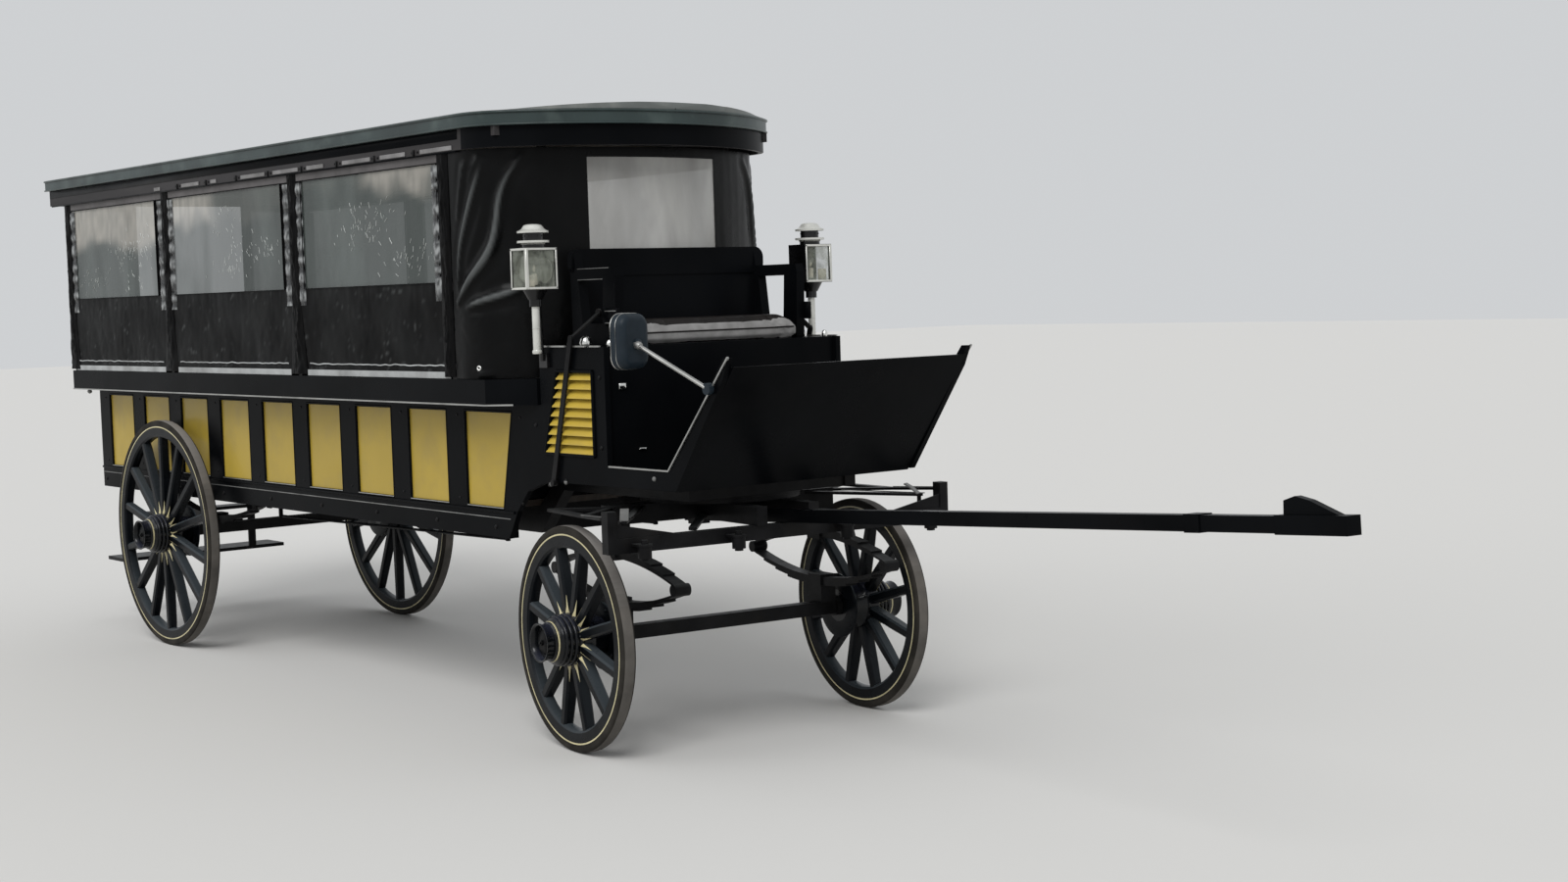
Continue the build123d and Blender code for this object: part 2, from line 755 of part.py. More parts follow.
def rear_curtains():
    """Curtains each side of the rear doorway."""
    sheet = block(curtain_rear, curtain_rear + curtain_thickness, seat_inner + 20,
                  curtain_half_width - 8, ledge_top, curtain_top)
    return Compound(mirrored(sheet - rear_window(-1, window_bottom, window_top)))


def window_panes():
    """Clear panes that fill the curtains' window openings."""
    inset = (curtain_thickness - pane_thickness) / 2
    wall = curtain_band(inset, pane_thickness, window_bottom, window_top)
    panes = []
    for span in window_spans:
        panes += mirrored(wall & right_side(*span, window_bottom, window_top))
    panes.append(wall & front_part(curtain_corner_start, front_window_half, front_window_bottom,
                                   window_top))
    panes += mirrored(rear_window(inset, window_bottom, window_top))
    return Compound(panes)


def passenger_cushions():
    """Long seat pads on the ledges and back pads against the posts."""
    pads = []
    x0, x1 = body_rear + 60, body_front - 60
    half = curtain_half_width - curtain_thickness - post_size - 6
    seat = block(x0, x1, seat_inner + 6, half - 60, ledge_top + fit, ledge_top + 62)
    back = block(x0, x1, half - 50, half, ledge_top + fit, ledge_top + 330)
    pads += mirrored(fillet(seat.edges().filter_by(Axis.X), 18))
    pads += mirrored(fillet(back.edges().filter_by(Axis.X), 16))
    return Compound(pads)


def driver_boot():
    """Boot under the driver's bench, footwell floor and rising toe board."""
    half = body_half_width - side_wall - fit
    z0 = platform_bottom + fit
    box = block(boot_rear, boot_front, -half, half, z0, boot_top)
    box -= block(boot_rear + boot_wall, boot_front - boot_wall, -half + boot_wall,
                 half - boot_wall, z0 + floor_thickness, boot_top - boot_wall)
    floor = block(body_front + 190, footboard_front, -half, half, z0, z0 + floor_thickness)
    toe_x, toe_z = footboard_front - 20, z0
    toe = side_profile(
        [(toe_x, toe_z), (toe_x + 40, toe_z),
         (toe_x + 40 + toe_run - 22, toe_z + toe_rise + 40),
         (toe_x + toe_run - 8, toe_z + toe_rise + 40)], -half, half)
    return box + floor + toe


def driver_bench():
    """Bench ends with arms, and the back rail between them."""
    y1 = bench_half_width
    y0 = y1 - arm_thickness
    x0 = bench_back_x
    end = side_profile(
        [(x0 - 6, boot_top + fit), (bench_arm_front - 10, boot_top + fit),
         (bench_arm_front, bench_arm_top - 30), (bench_arm_front - 8, bench_arm_top),
         (x0 + 26, bench_arm_top), (x0 + 14, bench_back_top - 14), (x0 - 12, bench_back_top - 14),
         (x0 - 12, bench_arm_top)], y0, y1)
    opening = side_profile(
        [(x0 + 60, boot_top + 80), (bench_arm_front - 88, boot_top + 80),
         (bench_arm_front - 78, bench_arm_top - arm_rail),
         (x0 + 40, bench_arm_top - arm_rail)], y0 - 1, y1 + 1)
    ends = mirrored(end - opening)
    rail = block(x0 - 12, x0 + 14, -y1 - 10, y1 + 10, bench_back_top - 100, bench_back_top)
    rail = fillet(rail.edges().filter_by(Axis.X), 40)
    back = block(x0 - 8, x0 + 10, -y0, y0, boot_top + fit, bench_back_top - 20)
    return ends[0] + ends[1] + rail + back


def bench_irons():
    """Flat stays from the bench ends, down over the louvres, to the bottom of the cheek."""
    y = body_half_width + stay_out
    end_y = bench_half_width + fit
    knee_x, knee_z = stay_knee_x, boot_top + stay_knee_rise
    top_x, top_z = stay_top_x, boot_top + stay_top_rise
    low_x, low_z = stay_foot_x, platform_bottom
    half = stay_thickness / 2
    iron = bar((knee_x, y, knee_z), (low_x, y, low_z), stay_thickness, stay_width)
    iron += rod((knee_x, y - half, knee_z), (knee_x, y + half, knee_z), stay_width / 2)
    iron += bar((knee_x, y, knee_z), (top_x, end_y + half + 1, top_z), stay_width, stay_thickness)
    iron += rod((top_x, end_y, top_z), (top_x, end_y + half + 6, top_z), stay_width / 2 + 2)
    iron += rod((low_x, body_half_width + fit, low_z), (low_x, y + half + 5, low_z), stay_width / 2 - 1)
    return Compound(mirrored(iron))


def driver_cushion():
    half = bench_half_width - arm_thickness - 4
    pad = block(bench_back_x + 14, bench_arm_front + 20, -half, half, boot_top + fit, boot_top + 90)
    return fillet(pad.edges().filter_by(Axis.Y), 24)


def lamp_axis(side):
    return Pos(lamp_x, side * lamp_y, 0)


def lamp_housings():
    """Black cases: inner and rear walls, floor, lid, chimney, cup and wall bracket."""
    lamps = []
    w, d = lamp_width / 2, lamp_depth / 2
    z0, z1 = lamp_bottom, lamp_bottom + lamp_glass_height
    case = block(-d, d, -w, w, z0, z0 + 8) + block(-d, d, -w, w, z1 - 8, z1)
    case += block(-d, -d + 4, -w, w, z0, z1)
    case += block(-d, d, -w, -w + 4, z0, z1)
    for x, y in ((d - 5, w - 5), (d - 5, -w + 5), (-d + 5, w - 5)):
        case += block(x - 5, x + 5, y - 5, y + 5, z0, z1)
    case += Pos(0, 0, z1 + 9) * Cylinder(40, 18) + Pos(0, 0, z1 + 36) * Cylinder(36, 36)
    case += Pos(0, 0, z0 - 18) * Cone(26, 46, 36)
    case += Pos(0, 0, z0 - 48) * Cylinder(22, 26)
    foot_y = body_half_width + fit - lamp_y
    foot_z = boot_top - lamp_foot_drop
    case += rod((-d + 2, -w + 20, z0 + 20), (lamp_foot_x, foot_y + lamp_rod_radius + 6, foot_z),
                lamp_rod_radius)
    case += block(lamp_foot_x - lamp_plate / 2, lamp_foot_x + lamp_plate / 2, foot_y, foot_y + 12,
                  foot_z - lamp_plate / 2, foot_z + lamp_plate / 2)
    for side in (1, -1):
        one = case if side > 0 else case.mirror(Plane.XZ)
        lamps.append(lamp_axis(side) * one)
    return Compound(lamps)


def lamp_glass():
    panes = []
    w, d = lamp_width / 2, lamp_depth / 2
    z0, z1 = lamp_bottom + 8 + fit, lamp_bottom + lamp_glass_height - 8 - fit
    for side in (1, -1):
        front = block(d - 6, d - 3, -w + 10 + fit, w - 10 - fit, z0, z1)
        outer = block(-d + 10 + fit, d - 10 - fit, w - 6, w - 3, z0, z1)
        for pane in (front, outer):
            one = pane if side > 0 else pane.mirror(Plane.XZ)
            panes.append(lamp_axis(side) * one)
    return Compound(panes)


def lamp_fittings():
    """Bright parts: ring and domed cap above, candle tube below."""
    top = lamp_bottom + lamp_glass_height
    pieces = []
    for side in (1, -1):
        ring = Pos(0, 0, top + 22) * (Cylinder(58, 8) - Cylinder(36.3, 8))
        cap = revolve(Plane.XZ * make_face(Polyline(
            (0, top + 54.3), (56, top + 54.3), (56, top + 60), (34, top + 70), (16, top + 80),
            (0, top + 82), close=True)), Axis.Z)
        tube = Pos(0, 0, lamp_bottom - 61.3 - 85) * Cylinder(14, 170)
        for piece in (ring, cap, tube):
            pieces.append(lamp_axis(side) * piece)
    return Compound(pieces)


def mirror():
    """Round-cornered mirror on an arm from the edge of the toe board, right side."""
    y = -body_half_width - mirror_out
    head = Box(mirror_thickness, mirror_width, mirror_height)
    head = fillet(head.edges().filter_by(Axis.X), mirror_corner)
    head = fillet(head.faces().sort_by(Axis.X)[-1].edges(), mirror_thickness * 0.42)
    head = Pos(mirror_x, y, mirror_z) * Rot(0, 0, 12) * head
    foot_x, foot_z = footboard_front + mirror_foot_x, footwell_rim + mirror_foot_rise
    foot_y = -body_half_width - 12
    arm = rod((mirror_x + 4, y + 4, mirror_z), (foot_x, foot_y, foot_z), 7)
    knuckle = Pos(mirror_x + mirror_thickness / 2 + 4, y + 6, mirror_z - 7) * Sphere(15)
    clamp = rod((foot_x, -body_half_width - fit, foot_z), (foot_x, -body_half_width - 20, foot_z), 20)
    return head + arm + knuckle + clamp


def rear_axle():
    return axle(wheel_track / 2, rear_wheel_radius)


def rear_springs():
    pack, _ = rear_spring()
    return Compound(mirrored(Pos(0, beam_y, 0) * pack))


def rear_step():
    """Two treads below the door on side irons."""
    tread_front = body_rear - 20
    tread_rear = tread_front - rear_step_depth
    half = rear_step_width / 2
    low = block(tread_rear, tread_front, -half, half, rear_step_height - 18, rear_step_height)
    mid_z = (rear_step_height + sill_bottom) / 2 + 30
    mid = block(tread_rear + 90, tread_front, -half * 0.62, half * 0.62, mid_z - 18, mid_z)
    step = low + mid
    iron_rear = tread_front - rear_step_iron
    for side in (1, -1):
        y0, y1 = side * half * 0.6 - 20, side * half * 0.6 + 20
        step += block(iron_rear, tread_front, y0, y1, rear_step_height - 4, sill_bottom + 60)
        step += block(iron_rear, body_rear - fit, y0, y1, sill_bottom + 20, sill_bottom + 60)
    return step


def front_axle():
    return at_fore_carriage(axle(wheel_track / 2, front_wheel_radius))


def front_springs():
    pair = mirrored(Pos(0, front_spring_y, 0) * front_spring_solid)
    return Compound([at_fore_carriage(s) for s in pair])


def turntable_lower():
    """Lower ring and the kingpin, which turns in the platform's boss."""
    ring = Circle(ring_radius) - Circle(ring_radius - ring_width)
    part = Pos(0, 0, ring_low) * extrude(ring, ring_thickness)
    part += block(-35, 35, -ring_radius + 10, ring_radius - 10, ring_low, ring_low + ring_thickness)
    part += rod((0, 0, ring_low), (0, 0, platform_bottom - 1), kingpin_radius)
    return at_fore_carriage(part)


def futchell_bottom():
    return ring_low - fit - futchell_height


def flat_iron(points):
    """Flat iron laid through the points, round at its joints."""
    iron = None
    for a, b in zip(points[:-1], points[1:]):
        part = bar(a, b, stay_iron_width, stay_iron_depth)
        for x, y, z in (a, b):
            part += rod((x, y, z - stay_iron_depth / 2), (x, y, z + stay_iron_depth / 2),
                        stay_iron_width / 2)
        iron = part if iron is None else iron + part
    return iron


def forecarriage_frame():
    """Bolster on the springs, futchells to the splinter bar, stays and pole stirrup."""
    z1 = ring_low - fit
    z0 = futchell_bottom()
    reach = front_spring_y + 33
    frame = block(-bolster_half_depth, bolster_half_depth, -reach, reach, z0, z1)
    inner = pole_size / 2 + fit
    tunnel = pole_line(bolster_half_depth) + pole_size * 0.505 + 2
    frame -= block(-bolster_half_depth - 1, bolster_half_depth + 1, -inner - 8, inner + 8, z0 - 1,
                   tunnel)
    bar_rear = splinter_ahead - splinter_depth / 2
    bar_front = splinter_ahead + splinter_depth / 2
    iron_z = z1 - stay_iron_depth
    for side in (1, -1):
        frame += block(-46, 46, side * front_spring_y - 33, side * front_spring_y + 33,
                       front_spring_top + fit, z0 + 1)
        frame += block(frame_rear, bar_front + 12, side * futchell_y - 22, side * futchell_y + 22, z0, z1)
        post_y = side * (splinter_half_length - splinter_post / 2)
        over_wheel = (bar_rear - 15 - fit, post_y, iron_z + 10)
        elbow = (0.4 * splinter_ahead, side * wheel_stay_y, iron_z)
        frame += flat_iron([over_wheel, elbow, (0, side * (reach - 15), iron_z)])
        frame += flat_iron([elbow, (-0.3 * splinter_ahead, side * (wheel_stay_y - 20), iron_z),
                            (0, side * (reach - 15), iron_z)])
        brace_y = side * (splinter_half_length - brace_inset)
        brace_rear = (20, side * (front_spring_y - 100), iron_z)
        frame += flat_iron([(bar_rear - 15, brace_y, iron_z - 8), brace_rear])
        frame += flat_iron([(bar_rear - 5, side * 360, z0 + 6), (70, side * futchell_y, z0 + 20)])
        frame += rod((bar_rear - 15, brace_y, iron_z - 8), (bar_rear - 15, brace_y, z0), brace_iron_radius)
        frame += block(bar_rear - 20, bar_front - 14, brace_y - 15, brace_y + 15, z0, z0 + 6)
    frame += block(frame_rear, frame_rear + 40, -futchell_y, futchell_y, z0, z1)
    low = pole_line(stirrup_x - 25) - pole_size * 0.505 - fit
    high = pole_line(stirrup_x + 25) + pole_size * 0.505 + 2
    frame += block(stirrup_x - 25, stirrup_x + 25, -futchell_y, futchell_y, high, z1)
    for side in (1, -1):
        y0, y1 = sorted((side * inner, side * (inner + 10)))
        frame += block(stirrup_x - 25, stirrup_x + 25, y0, y1, low - 10, high + 1)
    frame += block(stirrup_x - 25, stirrup_x + 25, -inner - 10, inner + 10, low - 10, low)
    frame += block(frame_rear + 30, frame_rear + 70, 30 - ring_radius, ring_radius - 30, z1 - 20, z1)
    return at_fore_carriage(frame)


def splinter_bar():
    """Cross bar ahead of the wheels: end posts with gussets, and four roller bolts."""
    z1 = futchell_bottom() - fit
    z0 = z1 - splinter_height
    x0, x1 = splinter_ahead - splinter_depth / 2, splinter_ahead + splinter_depth / 2
    shape = block(x0, x1, -splinter_half_length, splinter_half_length, z0, z1)
    wide = roller_radius + roller_collar
    for x, y, z in roller_places():
        top = z + roller_length / 2
        shape += block(x1 - 2, x, y - wide, y + wide, top, top + roller_bracket)
        shape += rod((x, y, top), (x, y, top + roller_bracket), wide)
        shape += rod((x, y, z - roller_length / 2), (x, y, top), roller_radius)
        shape += rod((x, y, z - roller_length / 2 - roller_bracket), (x, y, z), roller_cap_radius)
        shape += rod((x, y, top), (x, y, top + roller_bracket + roller_nut_height), roller_nut_radius)
    for side in (1, -1):
        y0, y1 = sorted((side * (splinter_half_length - splinter_post), side * splinter_half_length))
        shape += block(x0, x1, y0, y1, z1 - 2, z1 + splinter_post_height)
        inner = side * (splinter_half_length - splinter_post + 1)
        corner = Polyline((inner, z1 - 1), (inner, z1 + gusset_height),
                          (inner - side * gusset_length, z1), (inner - side * gusset_length, z1 - 1),
                          close=True)
        shape += Pos(x1 - 12, 0, 0) * extrude(Plane.YZ * make_face(corner), 8)
    return at_fore_carriage(shape)


def roller_places():
    """Middles of the roller bolts, which hang from brackets ahead of the bar."""
    x = splinter_ahead + splinter_depth / 2 + roller_ahead
    z = futchell_bottom() - fit - splinter_height + roller_collar
    outer = splinter_half_length - roller_inset
    return [(x, y, z) for y in (-outer, -roller_inner_y, roller_inner_y, outer)]


def pole_line(x):
    """Height of the pole's middle: it rests on the splinter bar and rises to its tip."""
    seat_x = splinter_ahead - splinter_depth / 2
    seat_z = futchell_bottom() + pole_size * 0.505
    slope = pole_rise / (pole_reach - seat_x)
    return seat_z + slope * (x - seat_x)


def pole():
    """Pole from its stirrup between the futchells to its iron head with a hook on top."""
    rear, front = pole_rear, pole_reach
    shape = bar((rear, 0, pole_line(rear)), (front, 0, pole_line(front)), pole_size, pole_size)
    for start, end in ((front - 590, front - 530), (front - pole_head, front)):
        shape += bar((start, 0, pole_line(start)), (end, 0, pole_line(end)),
                     pole_size + pole_iron, pole_size + pole_iron)
    low = pole_line(front - pole_head) + pole_size / 2
    hook = [(front - pole_head + 20, low), (front - pole_head + 20, low + 42),
            (front - pole_head + 60, low + 56), (front - pole_head + 110, low + 48),
            (front - 30, pole_line(front - 30) + pole_size / 2)]
    shape += side_profile(hook, -12, 12)
    return at_fore_carriage(shape)


def wheels():
    """Eight nodes: a wooden wheel and its tyre at each corner."""
    rear_pair = wheel(rear_wheel_radius, rear_spoke_count)
    front_pair = wheel(front_wheel_radius, front_spoke_count)
    nodes = {}
    for side, name in ((-1, "right"), (1, "left")):
        for axle_name, pair, radius in (
            ("rear", rear_pair, rear_wheel_radius),
            ("front", front_pair, front_wheel_radius),
        ):
            for kind, solid in zip(("wheel", "tyre"), pair):
                one = solid if side < 0 else solid.mirror(Plane.XZ)
                one = Pos(0, side * wheel_track / 2, ground + radius) * one
                if axle_name == "front":
                    one = at_fore_carriage(one)
                nodes[f"{axle_name}_{kind}_{name}"] = one
    return nodes


nodes = {
    "underframe": underframe(),
    "turntable_upper": turntable_upper(),
    "floor_boards": floor_boards(),
    "side_frames": Compound([side_frame(1), side_frame(-1)]),
    "side_panels": side_panels(),
    "seat_boards": seat_boards(),
    "front_bulkhead": front_bulkhead(),
    "rear_wall": rear_wall(),
    "rear_door": rear_door(),
    "roof_deck": roof_deck(),
    "roof_rim": roof_rim(),
    "canopy_frame": canopy_frame(),
    "side_curtains": side_curtains(),
    "front_curtain": front_curtain(),
    "rear_curtains": rear_curtains(),
    "window_panes": window_panes(),
    "passenger_cushions": passenger_cushions(),
    "driver_boot": driver_boot(),
    "boot_louvres": louvres(),
    "driver_bench": driver_bench(),
    "bench_irons": bench_irons(),
    "driver_cushion": driver_cushion(),
    "lamp_housings": lamp_housings(),
    "lamp_glass": lamp_glass(),
    "lamp_fittings": lamp_fittings(),
    "mirror": mirror(),
    "rear_axle": rear_axle(),
    "rear_springs": rear_springs(),
    "rear_step": rear_step(),
    "turntable_lower": turntable_lower(),
    "forecarriage_frame": forecarriage_frame(),
    "front_springs": front_springs(),
    "front_axle": front_axle(),
    "splinter_bar": splinter_bar(),
    "pole": pole(),
}
nodes.update(wheels())

rearmost = min(nodes[name].bounding_box().min.X for name in ("roof_rim", "rear_step"))
origin_x = (rearmost + nodes["pole"].bounding_box().max.X) / 2
for name, shape in nodes.items():
    export_step(Pos(-origin_x, 0, -ground) * shape, f"parts/{name}.step")

turn = math.radians(parked_turn)
print("rear axle x", round(-origin_x, 3), "kingpin x", round(wheelbase - origin_x, 3))
print("steered axle direction", round(-math.sin(turn), 6), round(math.cos(turn), 6))
print("door hinge", round(hinge_x() - origin_x, 3), round(hinge_y(), 3))
print("front spring top", round(front_spring_top, 2), "lower ring", round(ring_low, 2))
print("outer roller", *(round(v, 3) for v in roller_places()[-1]))
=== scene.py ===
import json
import math
import random
from bisect import bisect_left
from itertools import product

import bmesh
import bpy
from mathutils import Matrix, Vector, noise
from mathutils.bvhtree import BVHTree


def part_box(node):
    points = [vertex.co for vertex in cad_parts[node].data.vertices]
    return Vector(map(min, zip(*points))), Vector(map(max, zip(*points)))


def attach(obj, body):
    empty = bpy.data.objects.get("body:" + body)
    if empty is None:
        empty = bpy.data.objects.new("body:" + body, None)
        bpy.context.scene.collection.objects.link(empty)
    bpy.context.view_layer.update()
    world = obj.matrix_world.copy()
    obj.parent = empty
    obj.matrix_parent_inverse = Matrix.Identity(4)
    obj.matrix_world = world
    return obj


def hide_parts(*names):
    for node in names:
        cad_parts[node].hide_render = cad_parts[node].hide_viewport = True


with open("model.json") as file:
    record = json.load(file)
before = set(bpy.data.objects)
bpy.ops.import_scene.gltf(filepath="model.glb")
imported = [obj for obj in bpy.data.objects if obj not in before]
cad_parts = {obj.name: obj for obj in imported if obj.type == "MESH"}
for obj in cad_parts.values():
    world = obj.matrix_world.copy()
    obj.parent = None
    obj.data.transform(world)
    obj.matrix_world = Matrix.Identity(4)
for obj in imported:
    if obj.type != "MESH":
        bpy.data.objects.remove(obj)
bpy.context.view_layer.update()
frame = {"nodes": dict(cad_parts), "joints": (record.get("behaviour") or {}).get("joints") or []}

nodes = frame["nodes"]
joints = {j["name"]: j for j in frame["joints"]}

# Millimetres from the rear axle, as in the source, to metres in the row's frame
WHEELBASE = 3650.0
PARKED = math.radians(-5.9)
OX = WHEELBASE / 1000 - joints["steer"]["pos_m"][0]
FLOOR_TOP = 896.0
LIFT = FLOOR_TOP / 1000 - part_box("floor_boards")[1].z
SIDES = ((1, "left"), (-1, "right"))
UP, LEFT, AHEAD = Vector((0, 0, 1)), Vector((0, 1, 0)), Vector((1, 0, 0))


def P(x, y, z):
    return Vector((x / 1000 - OX, y / 1000, z / 1000 - LIFT))


def F(x, y, z):
    """A point of the fore-carriage, measured from the kingpin, where it stands parked."""
    c, s = math.cos(PARKED), math.sin(PARKED)
    return P(WHEELBASE + x * c - y * s, x * s + y * c, z)


# Camera, as solved from the wheels and the body lines of the photograph
YAW, PITCH, ROLL = math.radians(51.16), math.radians(3.94), math.radians(-1.75)
CAMERA_SPOT = (10035, -4826, 1661)
FOCAL_PIXELS, PHOTO_WIDTH = 2192.1, 1600
SENSOR_WIDTH = 36.0


def aim_camera():
    data = bpy.data.cameras.new("camera")
    cam = bpy.data.objects.new("camera", data)
    bpy.context.scene.collection.objects.link(cam)
    data.sensor_width = SENSOR_WIDTH
    data.lens = SENSOR_WIDTH * FOCAL_PIXELS / PHOTO_WIDTH
    data.clip_end = 200
    level = math.cos(PITCH)
    ahead = Vector((-math.sin(YAW) * level, math.cos(YAW) * level, -math.sin(PITCH)))
    across = Vector((math.cos(YAW), math.sin(YAW), 0))
    upward = across.cross(ahead)
    c, s = math.cos(ROLL), math.sin(ROLL)
    m = Matrix((c * across + s * upward, -s * across + c * upward, -ahead)).transposed().to_4x4()
    m.translation = P(*CAMERA_SPOT)
    cam.matrix_world = m
    bpy.context.scene.camera = cam


aim_camera()


# Material tools
def find_node(m, kind):
    return next(n for n in m.node_tree.nodes if n.type == kind)


def noise_out(nt, mapping, scale, detail, distortion=0.0):
    n = nt.nodes.new("ShaderNodeTexNoise")
    n.inputs["Scale"].default_value = scale
    n.inputs["Detail"].default_value = detail
    n.inputs["Distortion"].default_value = distortion
    nt.links.new(mapping.outputs[0], n.inputs[0])
    return n.outputs[0]


def map_range(nt, source, start, end, low, high):
    n = nt.nodes.new("ShaderNodeMapRange")
    for name, value in (("From Min", start), ("From Max", end), ("To Min", low), ("To Max", high)):
        n.inputs[name].default_value = value
    nt.links.new(source, n.inputs[0])
    return n.outputs[0]


def paint_over(m, mask, color):
    """Mixes a colour over the material's own, as far as the mask says."""
    nt = m.node_tree
    base = find_node(m, "BSDF_PRINCIPLED").inputs["Base Color"]
    mix = nt.nodes.new("ShaderNodeMix")
    mix.data_type = "RGBA"
    nt.links.new(mask, mix.inputs[0])
    nt.links.new(base.links[0].from_socket, mix.inputs[6])
    mix.inputs[7].default_value = (*color, 1)
    nt.links.new(mix.outputs[2], base)


def mat_base(name, color, rough, vary, scale, bump, bump_scale, dust, dust_amount, metal=0.0, coat=0.0,
             rough_vary=0.12, dust_scale=7.0, stretch=(1, 1, 1), bump_distance=0.001, spec=0.5):
    """Principled surface with noise in its colour, roughness and relief, and patches of dust."""
    m = bpy.data.materials.new(name)
    m.use_nodes = True
    nt = m.node_tree
    nt.nodes.clear()
    out = nt.nodes.new("ShaderNodeOutputMaterial")
    bsdf = nt.nodes.new("ShaderNodeBsdfPrincipled")
    nt.links.new(bsdf.outputs[0], out.inputs[0])
    coord = nt.nodes.new("ShaderNodeTexCoord")
    mapping = nt.nodes.new("ShaderNodeMapping")
    mapping.inputs["Scale"].default_value = stretch
    nt.links.new(coord.outputs["Object"], mapping.inputs[0])
    ramp = nt.nodes.new("ShaderNodeValToRGB")
    dark, light = ramp.color_ramp.elements
    dark.position, light.position = 0.3, 0.72
    dark.color = (*(max(0, v * (1 - vary)) for v in color), 1)
    light.color = (*(min(1, v * (1 + vary) + 0.002) for v in color), 1)
    nt.links.new(noise_out(nt, mapping, scale, 5), ramp.inputs[0])
    nt.links.new(ramp.outputs[0], bsdf.inputs["Base Color"])
    if dust:
        patches = noise_out(nt, mapping, dust_scale, 8)
        paint_over(m, map_range(nt, patches, 0.5, 0.78, 0.0, dust_amount), dust)
    wear = map_range(nt, noise_out(nt, mapping, scale * 3.1, 6), 0.0, 1.0,
                     max(0.02, rough - rough_vary), min(1, rough + rough_vary))
    nt.links.new(wear, bsdf.inputs["Roughness"])
    if bump:
        relief = nt.nodes.new("ShaderNodeBump")
        relief.inputs["Strength"].default_value = bump
        relief.inputs["Distance"].default_value = bump_distance
        nt.links.new(noise_out(nt, mapping, bump_scale, 4), relief.inputs["Height"])
        nt.links.new(relief.outputs[0], bsdf.inputs["Normal"])
    for socket, value in (("Metallic", metal), ("Coat Weight", coat), ("Coat Roughness", 0.08),
                          ("IOR", 1.5), ("Specular IOR Level", spec)):
        bsdf.inputs[socket].default_value = value
    return m


def glass(name, color, alpha_low, alpha_high, rough, scale, stretch, bump, spec=0.5):
    """Clear sheet with milky streaks: see-through where the streaks are thin."""
    haze = tuple(min(1.0, 3.2 * v + 0.01) for v in color)
    m = mat_base(name, color, rough, 0.25, scale, bump, 9, haze, 0.75, rough_vary=0.05, dust_scale=1.1,
                 stretch=stretch, bump_distance=0.004, spec=spec)
    nt = m.node_tree
    streaks = noise_out(nt, find_node(m, "MAPPING"), scale * 1.7, 9, 0.6)
    alpha = map_range(nt, streaks, 0.42, 0.74, alpha_low, alpha_high)
    nt.links.new(alpha, find_node(m, "BSDF_PRINCIPLED").inputs["Alpha"])
    return m


def add_crest(key, color):
    """Painted highlight where a fold stands up and would catch more light: the sheet keeps its height as an
    attribute.
    """
    crest = M[key].node_tree.nodes.new("ShaderNodeAttribute")
    crest.attribute_name = "crest"
    paint_over(M[key], crest.outputs["Fac"], color)


def paint_sheen_and_dust(key, color, low, high):
    """Painted sheen and dust: faces that look up are painted lighter, for the sky's reflection and for
    settled dust.
    """
    nt = M[key].node_tree
    geometry = nt.nodes.new("ShaderNodeNewGeometry")
    split = nt.nodes.new("ShaderNodeSeparateXYZ")
    nt.links.new(geometry.outputs["True Normal"], split.inputs[0])
    paint_over(M[key], map_range(nt, split.outputs["Z"], low, high, 0.0, 1.0), color)


